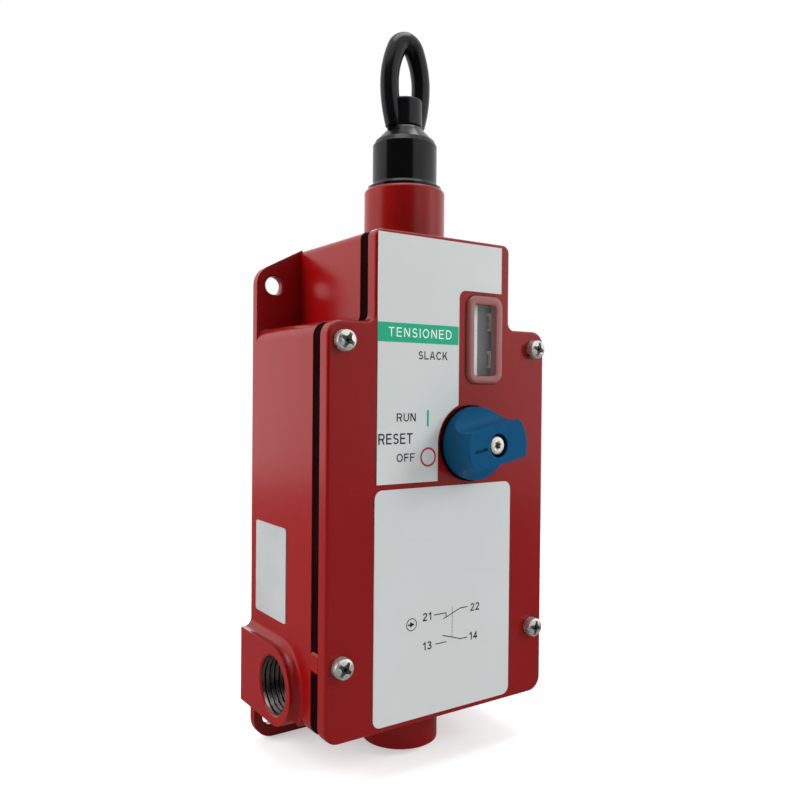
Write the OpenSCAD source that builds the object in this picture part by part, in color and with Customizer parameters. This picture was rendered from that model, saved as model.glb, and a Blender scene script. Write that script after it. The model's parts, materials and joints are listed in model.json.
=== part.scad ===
// Rope pull switch: an emergency-stop cable switch with a pull eye on top.
// Frame: X to the viewer's right, -Y towards the viewer, +Z up.
// Origin: centre of the four mounting holes, on the flat back face (Y = 0).
// Rest pose: rope slack, pull shaft down on its stop, reset knob at OFF.

/* [Body] */
// width of the wide lower part of the body
body_w = 97; // [95:0.5:101]
// width of the narrow upper part of the body
narrow_w = 60.4; // [60:0.2:63]
// height of the wide lower part
wide_h = 141; // [139:1:144]
// height of the narrow upper part above the shoulder
narrow_h = 32; // [32:1:36]
// depth of the housing from back face to rim
body_depth = 49.5; // [49.5:0.5:53]
// wall thickness of the housing
wall = 3.5; // [3:0.25:3.5]
// radius of the four outer corners of the wide part
corner_r = 5.5; // [4.5:0.5:6]
// radius of the two top corners of the narrow part
top_r = 3; // [2.5:0.5:4]
// radius of the inner corner between neck part and shoulder
notch_r = 3; // [2:0.5:4]

/* [Mounting] */
// distance between mounting holes from left to right
mount_dx = 82.5; // [82:0.5:84]
// distance between mounting holes from bottom to top
mount_dz = 168; // [167:1:172]
// diameter of each mounting hole
mount_hole_d = 7; // [5.5:0.5:7.5]
// outer corner radius of each mounting ear
ear_r = 8; // [7.5:0.25:8.5]
// thickness of the mounting ears
ear_t = 3.5; // [3:0.25:4.5]

/* [Neck and boss] */
// outer radius of the neck on top of the body
neck_r = 15.6; // [14.5:0.1:16.5]
// height of the neck above the body
neck_h = 21.5; // [20:0.5:26]
// outer radius of the boss under the body
boss_r = 14.5; // [11:0.5:15.5]
// length of the boss under the body
boss_h = 16; // [15:0.5:18]

/* [Conduit entry] */
// radius of the conduit thread at its root
conduit_r = 10.3; // [9.5:0.1:10.4]
// outer radius of the round conduit hub
hub_r = 14; // [13:0.5:14.5]
// how far the hub stands out from the side wall
hub_out = 4.1; // [3.6:0.1:6]
// radius of the fillet between hub and side wall
hub_fillet_r = 3; // [1:0.25:3.5]

/* [Cover] */
// thickness of the cover from its back rim to its face
cover_t = 5; // [5:0.5:7]
// thickness of the cover wall behind its face
cover_wall = 3; // [2.5:0.25:3]
// radius of the rounded front edge of the cover
cover_edge_r = 1.2; // [0.8:0.1:2.2]
// thickness of the cover gasket
gasket_t = 5; // [4:0.5:5.5]
// distance of the cover screws from the sides of the body
screw_side = 5.8; // [5.5:0.1:6.3]
// height of the lower cover screws above the bottom of the body
screw_rise = 26; // [24:0.5:30]
// distance of the upper cover screws below the shoulder
screw_drop = 7; // [6.6:0.1:7.6]

/* [Screws] */
// radius of the cover screw thread
screw_r = 2; // [1.7:0.1:2.2]
// radius of the cover screw head
screw_head_r = 4.2; // [3.8:0.1:4.3]
// height of the cover screw head
screw_head_h = 2.6; // [2:0.1:3]

/* [Labels] */
// thickness of the stuck-on labels
label_t = 0.3; // [0.2:0.05:0.5]
// left edge of the upper label, from the centre line
upper_label_left = 29.3; // [28:0.1:29.4]
// right edge of the upper label, from the centre line
upper_label_right = 25.8; // [25:0.1:26.4]
// left edge of the lower label, from the centre line
lower_label_left = 30; // [28:0.5:31]
// right edge of the lower label, from the centre line
lower_label_right = 31.2; // [28:0.1:32]
// height of the label on the side wall
side_label_h = 34.2; // [28:0.1:38]
// width of the label on the side wall
side_label_w = 25.5; // [22:0.5:28]

/* [Window] */
// width of the viewing slot
slot_w = 10.8; // [9:0.2:12]
// height of the viewing slot
slot_h = 27.4; // [22:0.2:29]
// width of the clear window
lens_w = 16.8; // [16:0.2:17.6]
// height of the clear window
lens_h = 32.6; // [31:0.2:34]
// how far the clear window stands out from the cover
lens_rise = 1.4; // [1:0.1:2]
// radius of the window's rounded front edge
lens_edge_r = 1.2; // [0.5:0.1:1.4]

/* [Reset knob] */
// radius of the knob skirt
knob_r = 13.4; // [12.5:0.1:13.8]
// height of the knob in front of the cover
knob_h = 16; // [14:0.5:20]
// width of the knob's grip bar
grip_w = 13.7; // [12:0.1:14.4]
// radius of the hollow between grip bar and skirt
grip_fillet = 6; // [4:0.25:6.25]
// turn of the knob from OFF to RUN, in degrees
knob_turn = 37; // [30:1:40]

/* [Pull shaft] */
// radius of the pull shaft
shaft_r = 4; // [3.5:0.1:4.2]
// travel of the pull shaft from slack to fully pulled
pull_travel = 16; // [14:0.5:16]

/* [Eye] */
// half width of the oval eye to the middle of its bar
eye_half_w = 7.2; // [6.8:0.1:9]
// half height of the oval eye to the middle of its bar
eye_half_h = 17.8; // [16.5:0.1:18.5]
// radius of the bar that the eye is made of
eye_bar_r = 3.4; // [3:0.1:3.8]
// radius of the eye's stem
eye_stem_r = 7; // [6.4:0.1:7.4]
// turn of the eye about the shaft, in degrees
eye_angle = 0; // [-45:5:90]

/* [Boot] */
// radius of the rubber boot
boot_r = 12.5; // [11.5:0.1:13]
// height of the boot above the neck
boot_h = 24; // [22:0.5:28]

/* [Spring] */
// radius of the tension spring to the middle of its wire
spring_r = 8.6; // [8:0.1:9]
// radius of the tension spring's wire
spring_wire_r = 1.2; // [0.8:0.1:1.3]
// number of turns of the tension spring
spring_turns = 7; // [6:1:8]

/* [Output] */
// which node to build

/* [Hidden] */

$fn = 48;
$fa = 6;
$fs = 0.5;
// overshoot of every cutting tool
cut = 1;
// clearance between pieces that are fixed to each other
seat_gap = 0.05;
// clearance between pieces that move past each other
run_gap = 0.3;
// clearance of a shaft or pin in its bearing
bearing_gap = 0.1;

// heights, from the centre of the mounting holes
body_bottom = -74;
shoulder = body_bottom + wide_h;
narrow_top = shoulder + narrow_h;
neck_top = narrow_top + neck_h;
boss_bottom = body_bottom - boss_h;
hub_z = body_bottom + 12;
hub_y = -28;
conduit_len = hub_out + 12;
win_z = shoulder - 4.3;
knob_z = shoulder - 42.4;
latch_z = knob_z - 15.6;
// from a mounting hole to the side edge of its ear
ear_margin = 7.25;
ear_half = mount_dx / 2 + ear_margin;

// depths, negative towards the viewer
rim_y = -body_depth;
cover_back = rim_y - gasket_t;
cover_front = cover_back - cover_t;
cover_inside = cover_front + cover_wall;
shaft_y = rim_y + 17.5;
// width of the strip that carries the cover's round front edge
edge_band = 2.9;

// cover screws
screw_top = shoulder - screw_drop;
screw_low = body_bottom + screw_rise;
screw_dx = body_w - 2 * screw_side;
post_r = 6.4;
post_top_r = 3.3;
post_len = body_depth + gasket_t - wall - seat_gap;
screw_len = 14;
washer_r = 4.3;
washer_t = 0.9;

// pull shaft pieces
shaft_low = boss_bottom + 4.5;
ring_z = neck_top + 40.8;
// radii of the arcs that make the oval, and where they meet
eye_end_r = 4.4;
eye_end_z = eye_half_h - eye_end_r;
eye_side_r = (eye_end_z * eye_end_z + eye_half_w * eye_half_w - eye_end_r * eye_end_r) / (2 * (eye_half_w - eye_end_r));
eye_side_x = eye_side_r - eye_half_w;
eye_turn = atan(eye_end_z / eye_side_x);
eye_bottom = neck_top + boot_h + run_gap;
stem_h = 12.8;
shaft_top = eye_bottom + stem_h - 2.6;
boot_top_r = 6.8;
boot_wall = 2;
boot_flange_r = 14.3;
boot_flange_t = 1;
guide_r = 8.5;
guide_low = narrow_top - 2;
guide_h = neck_h - 4;
seat_r = 11;
seat_t = 2;
spring_high = narrow_top - wall - seat_t;
spring_low = shoulder - 21;
cup_t = 3;
arm_t = 2;
arm_z = spring_low - cup_t - seat_gap - arm_t;
clip_t = 1.6;
clip_z = arm_z - seat_gap - clip_t;
collar_r = 9;
collar_neck_r = 6;
latch_t = 3;
collar_low = latch_z + latch_t / 2 - pull_travel / 2 - 12;
collar_h = 24;
pin_r = 1.5;
pin_z = collar_low + 4;
low_guide_r = 7;
low_guide_z = boss_bottom + 4;
low_guide_h = 22;

// window and indicator
win_x = 17.7;
lens_sink = 1.5;
flag_x = 21;
flag_w = 6;
flag_t = 1.2;
flag_y = cover_inside + 0.6;
flag_top = narrow_top - wall - pull_travel - 1;

// knob, spindle and cam
knob_x = 11.5;
off_angle = 192;
skirt_h = 3.3;
knob_lift = 1.2;
seal_r = knob_r + 0.5;
seal_t = knob_lift - 0.1;
spindle_r = 4;
spindle_boss_r = 7;
spindle_boss_len = 5;
cam_t = 4;
cam_r = 6;
cam_hub_r = 4.2;
cam_throw = 5;
cam_angle = 180 + knob_turn / 2;
cam_front = cover_inside + spindle_boss_len + 4.8;
cam_low_z = knob_z + cam_throw * sin(cam_angle) - cam_r;

// contact block
block_x = 22.8;
block_w = 26;
block_h = 46;
block_back = -6.5;
block_d = 27.5;
block_wall = 2.5;
block_front = block_back - block_d;
plunger_y = -20;
plunger_r = 2.5;
plate_t = 3;
plate_top = cam_low_z - run_gap;
plate_low = plate_top - plate_t;
plate_left = 4;
plunger_head_w = 9;
block_low = plate_low - 8.7 - block_h;
plunger_low = block_low + 7;
block_screw_dx = 9.4;
block_screw_z = block_low + block_h / 2 - 1;
block_screw_r = 1.5;
block_room_w = 11;
terminal_dx = 9.6;
terminal_w = 6.4;
terminal_screw_r = 1.75;
terminal_screw_len = 9;
clamp_w = 6.2;
contact_tab_w = 6;
contact_tab_x = 3.4;
bridge_w = 6.4;
terminal_high = block_low + 37;
terminal_low = block_low + 11;
leaf_t = 1;
leaf_len = 14;
// travel of the contact plunger while the knob turns
plunger_travel = 2 * cam_throw * sin(knob_turn / 2);
// underside of the contact leaf that belongs to the terminal at height z
function leaf_z(z) = z > block_low + block_h / 2 ? z + 4.2 - leaf_t : z - 4.2;
// height of the upper and lower bridge while the knob is at OFF
high_bridge_z = leaf_z(terminal_high) - run_gap - plunger_travel - leaf_t;
low_bridge_z = leaf_z(terminal_low) + leaf_t + run_gap;

// ground screw
ground_x = -30;
ground_z = body_bottom + 38;
ground_y = -11;

// latch lever
latch_x = -20;
latch_y = -9;
latch_pin_r = 2;
latch_boss_r = 5;
latch_post_h = 5;
latch_left = latch_x - 3;
foot_gap = 0.4;
foot_lift = 4.2;

// labels
upper_label_low = knob_z - 13.2;
upper_label_top = narrow_top - 1.4;
lower_label_low = body_bottom + 2.1;
lower_label_top = upper_label_low - 1.9;
side_label_low = body_bottom + 33.7;
side_label_back = -5;

/* ---------- shared shapes ---------- */

// extrudes a shape drawn in X and Z towards the viewer
module slab(y_back, depth) {
  translate([0, y_back, 0])
    rotate([90, 0, 0])
      linear_extrude(height = depth)
        children();
}

// round bar along Y, from y_back towards the viewer
module bar_y(x, z, y_back, len, r) {
  translate([x, y_back, z])
    rotate([90, 0, 0])
      cylinder(h = len, r = r);
}

// round bar along X, from x0 to the right
module bar_x(x0, y, z, len, r) {
  translate([x0, y, z])
    rotate([0, 90, 0])
      cylinder(h = len, r = r);
}

// round bar along Z on the shaft's axis
module on_shaft(z0, len, r) {
  translate([0, shaft_y, z0])
    cylinder(h = len, r = r);
}

// rectangle with round corners, centred on x and z
module round_rect(x, z, w, h, r) {
  translate([x - w / 2 + r, z - h / 2])
    square([w - 2 * r, h]);
  translate([x - w / 2, z - h / 2 + r])
    square([w, h - 2 * r]);
  for (sx = [-1, 1])
    for (sz = [-1, 1])
      translate([x + sx * (w / 2 - r), z + sz * (h / 2 - r)])
        circle(r = r);
}

// front outline of the body, moved inwards by "inset"
module body_outline(inset) {
  r_wide = max(0.8, corner_r - inset);
  r_top = max(0.8, top_r - inset);
  r_notch = notch_r + inset;
  half = narrow_w / 2 - inset;
  round_rect(0, body_bottom + wide_h / 2, body_w - 2 * inset, wide_h - 2 * inset, r_wide);
  translate([-half, shoulder - inset - 8])
    square([2 * half, narrow_h + 8 - r_top]);
  translate([-half + r_top, shoulder - inset])
    square([2 * (half - r_top), narrow_h]);
  for (s = [-1, 1]) {
    translate([s * (half - r_top), narrow_top - inset - r_top])
      circle(r = r_top);
    difference() {
      translate([s * (half + r_notch / 2 - 0.25), shoulder - inset + r_notch / 2 - 0.25])
        square([r_notch + 0.5, r_notch + 0.5], center = true);
      translate([s * (half + r_notch), shoulder - inset + r_notch])
        circle(r = r_notch);
    }
  }
}

// cylinder on z = 0 with its top edge rounded to radius "e"
module puck(r, h, e) {
  rotate_extrude() {
    square([r, h - e]);
    square([r - e, h]);
    translate([r - e, h - e])
      circle(r = e);
  }
}

// plate on z = 0 with round corners "r" and its top edge rounded to radius "e"
module rounded_plate(w, h, t, r, e) {
  linear_extrude(height = t - e)
    round_rect(0, 0, w, h, r);
  linear_extrude(height = t)
    round_rect(0, 0, w - 2 * e, h - 2 * e, r - e);
  for (sx = [-1, 1])
    for (sz = [-1, 1])
      translate([sx * (w / 2 - r), sz * (h / 2 - r), 0])
        puck(r, t, e);
  for (s = [-1, 1]) {
    translate([s * (w / 2 - e), r - h / 2, t - e])
      rotate([-90, 0, 0])
        cylinder(h = h - 2 * r, r = e);
    translate([r - w / 2, s * (h / 2 - e), t - e])
      rotate([0, 90, 0])
        cylinder(h = w - 2 * r, r = e);
  }
}

// ring on the shaft's axis
module shaft_ring(z0, len, r_out, r_in) {
  difference() {
    on_shaft(z0, len, r_out);
    on_shaft(z0 - cut, len + 2 * cut, r_in);
  }
}

// one point of a coil
function coil_pt(a, r, pitch) = [r * cos(a), r * sin(a), pitch * a / 360];

// helical spring as one closed skin, standing on z = 0
module coil(r, wire, height, turns, sides, steps) {
  rings = turns * steps;
  pitch = (height - 2 * wire) / turns;
  pts = [
    for (i = [0 : rings])
      for (k = [0 : sides - 1])
        let (a = 360 * i / steps, b = 360 * k / sides)
          coil_pt(a, r, pitch) + [0, 0, wire]
            + [wire * cos(b) * cos(a), wire * cos(b) * sin(a), wire * sin(b)]
  ];
  skin = [
    for (i = [0 : rings - 1])
      for (k = [0 : sides - 1])
        for (half = [0, 1])
          let (n = (k + 1) % sides, c = i * sides)
            half == 0 ? [c + k, c + n, c + sides + n] : [c + k, c + sides + n, c + sides + k]
  ];
  first = [for (k = [sides - 1 : -1 : 0]) k];
  last = [for (k = [0 : sides - 1]) rings * sides + k];
  polyhedron(points = pts, faces = concat([first], [last], skin), convexity = 10);
}

/* ---------- housing ---------- */

// mounting plate with four ears, drawn in X and Z
module ear_plate() {
  cx = ear_half - ear_r;
  cz = mount_dz / 2;
  ex = narrow_w / 2 - 1;
  ez = narrow_top;
  away = sqrt((cx - ex) * (cx - ex) + (ez - cz) * (ez - cz));
  tilt = atan2(ez - cz, ex - cx) - acos(ear_r / away);
  for (s = [-1, 1]) {
    translate([s * cx, cz])
      circle(r = ear_r);
    translate([s * cx, -cz])
      circle(r = ear_r);
    polygon([
      [s * cx, cz],
      [s * (cx + ear_r * cos(tilt)), cz + ear_r * sin(tilt)],
      [s * ex, ez],
      [s * ex, cz - 10]
    ]);
  }
  translate([-ear_half, -cz])
    square([2 * ear_half, 2 * cz]);
  translate([-cx, -cz - ear_r])
    square([2 * cx, ear_r + cut]);
}

module mount_holes() {
  for (sx = [-1, 1])
    for (sz = [-1, 1]) {
      bar_y(sx * mount_dx / 2, sz * mount_dz / 2, cut, ear_t + 2 * cut, mount_hole_d / 2);
      translate([sx * mount_dx / 2, -ear_t - 0.01, sz * mount_dz / 2])
        rotate([-90, 0, 0])
          cylinder(h = 0.61, r1 = mount_hole_d / 2 + 0.6, r2 = mount_hole_d / 2);
    }
}

// round hub with a flat back, reaching back to the mounting face
module hub_shape(x0, len, r) {
  translate([x0, 0, 0])
    rotate([90, 0, 90])
      linear_extrude(height = len) {
        translate([hub_y, hub_z])
          circle(r = r);
        translate([hub_y, hub_z - r])
          square([-hub_y, 2 * r]);
      }
}

// section of the fillet between the hub and the side wall
module hub_fillet_section() {
  f = hub_fillet_r;
  sunk = 3;
  difference() {
    translate([-cut, -sunk])
      square([f + cut, f + sunk]);
    translate([f, f])
      circle(r = f);
  }
}

// fillet above the hub and round its front, down to the body's lower edge
module hub_fillet() {
  sweep = 90 + asin((hub_z - body_bottom - 0.6) / (hub_r + hub_fillet_r));
  translate([-body_w / 2, hub_y, hub_z])
    rotate([0, -90, 0]) {
      rotate([0, 0, -sweep])
        rotate_extrude(angle = sweep)
          translate([hub_r, 0])
            hub_fillet_section();
      translate([hub_r, -hub_y, 0])
        rotate([90, 0, 0])
          linear_extrude(height = -hub_y)
            hub_fillet_section();
    }
}

module housing() {
  color("firebrick")
    difference() {
      union() {
        difference() {
          union() {
            slab(0, body_depth)
              body_outline(0);
            slab(0, ear_t)
              ear_plate();
            hub_shape(-body_w / 2 - hub_out, hub_out + 3, hub_r);
            hub_fillet();
            on_shaft(boss_bottom, boss_h + 2, boss_r);
            translate([0, shaft_y, narrow_top - 4])
              puck(neck_r, neck_h + 4, 1.5);
          }
          translate([0, -wall, 0])
            slab(0, body_depth)
              body_outline(wall);
        }
        intersection() {
          slab(0, body_depth + gasket_t - seat_gap)
            body_outline(0);
          for (s = [-1, 1])
            for (p = [[screw_low, post_r], [screw_top, post_top_r]])
              bar_y(s * screw_dx / 2, p[0], -wall / 2, post_len + wall / 2, p[1]);
        }
        bar_x(-body_w / 2 + 1, hub_y, hub_z, conduit_len - hub_out - 1, conduit_r + 1.3);
        for (s = [-1, 1])
          bar_y(block_x + s * block_screw_dx, block_screw_z, -wall / 2, -block_back - wall / 2 - seat_gap, 3.7);
        translate([latch_x - latch_boss_r, latch_y - latch_boss_r, latch_z - latch_post_h])
          cube([2 * latch_boss_r, latch_boss_r - latch_y - wall / 2, latch_post_h - run_gap]);
        bar_y(ground_x, ground_z, -wall / 2, -ground_y - wall / 2 - seat_gap, 5);
        on_shaft(body_bottom + 1, low_guide_z + low_guide_h - body_bottom - 1, low_guide_r + 3);
      }
      mount_holes();
      for (s = [-1, 1])
        for (z = [screw_low, screw_top])
          bar_y(s * screw_dx / 2, z, cover_back + screw_len, screw_len + cut, screw_r + seat_gap);
      bar_x(-body_w / 2 - hub_out - cut, hub_y, hub_z, conduit_len + cut, conduit_r);
      translate([-body_w / 2 - hub_out - 0.01, hub_y, hub_z])
        rotate([0, 90, 0])
          cylinder(h = 0.8, r1 = conduit_r + 0.6, r2 = conduit_r - 0.2);
      on_shaft(guide_low - cut - wall, neck_h + cut + wall + 4, guide_r);
      on_shaft(low_guide_z, low_guide_h + cut, low_guide_r);
      for (s = [-1, 1])
        bar_y(block_x + s * block_screw_dx, block_screw_z, -wall + 1.5, 20, block_screw_r + seat_gap);
      translate([latch_x, latch_y, latch_z - latch_post_h - cut])
        cylinder(h = latch_post_h + 2 * cut, r = latch_pin_r + seat_gap);
      bar_y(ground_x, ground_z, -wall + 1, 20, screw_r + seat_gap);
    }
}

/* ---------- cover ---------- */

// section of the cover's edge: "w" wide, with a round front corner
module edge_section(w) {
  e = cover_edge_r;
  square([w, cover_t - e]);
  square([w - e, cover_t]);
  translate([w - e, cover_t - e])
    circle(r = e);
}

// straight stretch of cover edge, from (x, z), "len" long, facing "angle"
module edge_run(x, z, angle, len) {
  translate([x, cover_back, z])
    rotate([90, 0, 0])
      rotate([0, 0, angle])
        translate([-edge_band, len, 0])
          rotate([90, 0, 0])
            linear_extrude(height = len)
              edge_section(edge_band);
}

// outward corner of the cover edge
module edge_corner(x, z, angle, r) {
  translate([x, cover_back, z])
    rotate([90, 0, 0])
      rotate([0, 0, angle])
        rotate_extrude(angle = 90)
          edge_section(r);
}

// inward corner of the cover edge
module edge_notch(x, z, angle, r) {
  translate([x, cover_back, z])
    rotate([90, 0, 0])
      rotate([0, 0, angle])
        rotate_extrude(angle = 90)
          translate([r + edge_band, 0])
            mirror([1, 0])
              edge_section(edge_band);
}

// right half of the cover's rounded border
module cover_border() {
  hw = body_w / 2;
  hn = narrow_w / 2;
  r = corner_r;
  edge_run(hw, body_bottom + r, 0, wide_h - 2 * r);
  edge_corner(hw - r, shoulder - r, 0, r);
  edge_corner(hw - r, body_bottom + r, -90, r);
  edge_run(hw - r, shoulder, 90, hw - r - hn - notch_r);
  edge_notch(hn + notch_r, shoulder + notch_r, 180, notch_r);
  edge_run(hn, shoulder + notch_r, 0, narrow_h - notch_r - top_r);
  edge_corner(hn - top_r, narrow_top - top_r, 0, top_r);
  edge_run(hn - top_r, narrow_top, 90, hn - top_r);
  edge_run(0, body_bottom, -90, hw - r);
}

module cover() {
  color("firebrick")
    difference() {
      union() {
        difference() {
          union() {
            slab(cover_back, cover_t)
              body_outline(2.4);
            cover_border();
            mirror([1, 0, 0])
              cover_border();
          }
          translate([0, cut, 0])
            slab(cover_back, cover_t - cover_wall + cut)
              body_outline(4);
        }
        intersection() {
          slab(cover_back, cover_t - cover_wall + 1)
            body_outline(1);
          for (s = [-1, 1])
            for (p = [[screw_low, post_r], [screw_top, post_top_r]])
              bar_y(s * screw_dx / 2, p[0], cover_back, cover_t - cover_wall + 1, p[1]);
        }
        bar_y(knob_x, knob_z, cover_inside + spindle_boss_len, spindle_boss_len + 1, spindle_boss_r);
      }
      for (s = [-1, 1])
        for (z = [screw_low, screw_top])
          bar_y(s * screw_dx / 2, z, cover_back + cut, cover_t + 2 * cut, screw_r + run_gap);
      bar_y(knob_x, knob_z, cover_inside + spindle_boss_len + cut, 20, spindle_r + bearing_gap);
      bar_y(knob_x, knob_z, cover_front + 1.8, 1.8 + cut, 6);
      slab(cover_back + cut, cover_t + 2 * cut)
        round_rect(win_x, win_z, slot_w, slot_h, 1.5);
      slab(cover_front + lens_sink, lens_sink + cut)
        round_rect(win_x, win_z, lens_w + 0.2, lens_h + 0.2, 4.1);
    }
}

module cover_gasket() {
  color("black")
    difference() {
      slab(rim_y - seat_gap, gasket_t - 2 * seat_gap)
        body_outline(0.3);
      translate([0, cut, 0])
        slab(rim_y, gasket_t + 2 * cut)
          body_outline(4.4);
      for (s = [-1, 1])
        for (p = [[screw_low, post_r], [screw_top, post_top_r]])
          bar_y(s * screw_dx / 2, p[0], rim_y + cut, gasket_t + 2 * cut, p[1] + 0.2);
    }
}

/* ---------- cover fasteners ---------- */

// pan head with a cross recess, facing the viewer at y = 0
module pan_head(r, h) {
  difference() {
    puck(r, h, 1);
    for (a = [0, 90])
      rotate([0, 0, a])
        translate([-r * 0.66, -r / 6, h - 1.5])
          cube([r * 1.32, r / 3, 2]);
  }
}

module cover_screws() {
  color("silver")
    for (s = [-1, 1])
      for (z = [screw_low, screw_top])
        translate([s * screw_dx / 2, cover_front - washer_t - seat_gap, z])
          rotate([90, 0, 0]) {
            pan_head(screw_head_r, screw_head_h);
            translate([0, 0, -screw_len - cover_t + 2])
              cylinder(h = screw_len + cover_t - 1, r = screw_r);
          }
}

module cover_lock_washers() {
  color("silver")
    for (s = [-1, 1])
      for (z = [screw_low, screw_top])
        difference() {
          bar_y(s * screw_dx / 2, z, cover_front, washer_t, washer_r);
          bar_y(s * screw_dx / 2, z, cover_front + cut, washer_t + 2 * cut, screw_r + 0.2);
          translate([s * screw_dx / 2 + screw_r, cover_front - washer_t - cut, z - 0.3])
            cube([washer_r, washer_t + 2 * cut, 0.6]);
        }
}

/* ---------- labels and window ---------- */

module upper_label_shape() {
  low = upper_label_low - cut;
  step_r = 3;
  step_x = win_x - lens_w / 2 - 3.6;
  step_z = win_z + lens_h / 2 + 1.3;
  arc_r = knob_r + 1.6;
  difference() {
    translate([-upper_label_left, upper_label_low])
      square([upper_label_left + upper_label_right, upper_label_top - upper_label_low]);
    translate([step_x + step_r, low])
      square([upper_label_right, step_z - low]);
    translate([step_x, low])
      square([2 * step_r, step_z - step_r - low]);
    translate([step_x + step_r, step_z - step_r])
      circle(r = step_r);
    translate([knob_x - arc_r, low])
      square([arc_r, knob_z - low]);
    translate([knob_x, knob_z])
      circle(r = arc_r);
  }
}

module upper_label() {
  color("lightgray")
    slab(cover_front, label_t)
      upper_label_shape();
}

module lower_label() {
  color("lightgray")
    slab(cover_front, label_t)
      round_rect(
        (lower_label_right - lower_label_left) / 2, (lower_label_top + lower_label_low) / 2,
        lower_label_right + lower_label_left, lower_label_top - lower_label_low, 3
      );
}

module side_label() {
  color("white")
    translate([-body_w / 2 - label_t, side_label_back - side_label_w / 2, side_label_low + side_label_h / 2])
      rotate([90, 0, 90])
        linear_extrude(height = label_t)
          round_rect(0, 0, side_label_w, side_label_h, 1.2);
}

module window_lens() {
  back = cover_front + lens_sink - seat_gap;
  color([0.9, 0.8, 0.8, 0.5]) {
    translate([win_x, back, win_z])
      rotate([90, 0, 0])
        rounded_plate(lens_w, lens_h, lens_sink + lens_rise, 4, lens_edge_r);
    slab(cover_inside + seat_gap, cover_wall - lens_sink + 0.2)
      round_rect(win_x, win_z, slot_w - 0.3, slot_h - 0.3, 1.4);
  }
}

/* ---------- reset knob ---------- */

// section cut away on each side of the grip bar
module grip_cut() {
  side = grip_w / 2;
  f = grip_fillet;
  translate([side, skirt_h + f])
    square([knob_r, knob_h]);
  translate([side + f, skirt_h])
    square([knob_r, knob_h]);
  translate([side + f, skirt_h + f])
    circle(r = f);
}

module reset_knob() {
  body_h = knob_h - knob_lift;
  color("midnightblue")
    translate([knob_x, cover_front - knob_lift, knob_z])
      rotate([90, 0, 0])
        rotate([0, 0, off_angle])
          difference() {
            cylinder(h = body_h, r = knob_r);
            for (m = [0, 1])
              mirror([0, m, 0])
                translate([-knob_r - cut, 0, 0])
                  rotate([90, 0, 90])
                    linear_extrude(height = 2 * (knob_r + cut))
                      grip_cut();
            translate([0, 0, body_h - 3])
              cylinder(h = 3 + cut, r = 4.2);
            translate([0, 0, -cut])
              cylinder(h = body_h, r = 2.2);
            translate([-3.2, -3.2, -cut])
              cube([6.4, 6.4, 9 + cut]);
            translate([5.4, -0.5, body_h - 0.6])
              cube([5.6, 1, 1]);
          }
}

module knob_screw() {
  body_h = knob_h - knob_lift;
  color("gainsboro")
    translate([knob_x, cover_front - knob_lift - body_h + 3 - seat_gap, knob_z])
      rotate([90, 0, 0])
        difference() {
          union() {
            cylinder(h = 2.6, r = 3.3);
            translate([0, 0, -10])
              cylinder(h = 10.5, r = 1.9);
          }
          translate([0, 0, 1.2])
            cylinder(h = 2, r = 1.7, $fn = 6);
        }
}

module knob_spindle() {
  nose = cover_front - knob_lift - 8.8;
  color("darkgray")
    difference() {
      union() {
        bar_y(knob_x, knob_z, cam_front - seat_gap, cam_front - cover_front + knob_lift - 2 * seat_gap, spindle_r);
        bar_y(knob_x, knob_z, cover_inside + spindle_boss_len + 2.3, 2, 6.5);
        translate([knob_x, nose, knob_z])
          rotate([0, -off_angle, 0])
            translate([-3, 0, -3])
              cube([6, cover_front - nose, 6]);
        bar_y(knob_x, knob_z, cam_front + cam_t + 2.4, cam_t + 4, 2.5);
      }
      bar_y(knob_x, knob_z, nose + 8, 8 + cut, 1.9 + seat_gap);
      difference() {
        bar_y(knob_x, knob_z, cam_front + cam_t + 1.2, 0.8, 6);
        bar_y(knob_x, knob_z, cam_front + cam_t + 2, 3, 2);
      }
    }
}

module spindle_seal() {
  color("black")
    translate([knob_x, cover_front, knob_z])
      rotate([90, 0, 0])
        rotate_extrude()
          difference() {
            union() {
              translate([4.6, 0])
                square([seal_r - 4.6, seal_t]);
              translate([4.6, -0.9])
                square([0.8, 1]);
              translate([5, -0.9])
                circle(r = 0.75);
            }
            translate([0, -2])
              square([4.4, 4]);
          }
}

module reset_cam() {
  color("goldenrod")
    difference() {
      union() {
        bar_y(knob_x, knob_z, cam_front + cam_t, cam_t - seat_gap, cam_hub_r);
        translate([cam_throw * cos(cam_angle), 0, cam_throw * sin(cam_angle)])
          bar_y(knob_x, knob_z, cam_front + cam_t, cam_t - seat_gap, cam_r);
      }
      bar_y(knob_x, knob_z, cam_front + cam_t + cut, cam_t + 2 * cut, 2.5 + seat_gap);
    }
}

module cam_clip() {
  color("gray")
    difference() {
      bar_y(knob_x, knob_z, cam_front + cam_t + 1.15, 0.7, 4.4);
      bar_y(knob_x, knob_z, cam_front + cam_t + 2, 3, 2.05);
      translate([knob_x, cam_front + cam_t - cut, knob_z - 1.7])
        cube([6, 4, 3.4]);
    }
}

/* ---------- boot, eye and shaft ---------- */

module boot_profile() {
  flare = 1.7;
  difference() {
    union() {
      square([boot_flange_r, boot_flange_t]);
      translate([0, boot_flange_t])
        square([boot_r, boot_h - boot_flange_t - 7]);
      difference() {
        translate([0, boot_flange_t])
          square([boot_r + flare, flare]);
        translate([boot_r + flare, boot_flange_t + flare])
          circle(r = flare);
      }
      translate([0, boot_h - 7])
        polygon([[0, 0], [boot_r, 0], [boot_r - 0.8, 1.8], [boot_top_r + 0.6, 6.2], [boot_top_r, 7], [0, 7]]);
    }
    translate([-cut, -cut])
      square([boot_r - boot_wall + cut, boot_h - 7 + cut]);
    translate([-cut, boot_h - 9])
      square([shaft_r + run_gap + cut, 20]);
  }
}

module pull_boot() {
  color("black")
    translate([0, shaft_y, neck_top])
      rotate_extrude()
        boot_profile();
}

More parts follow.
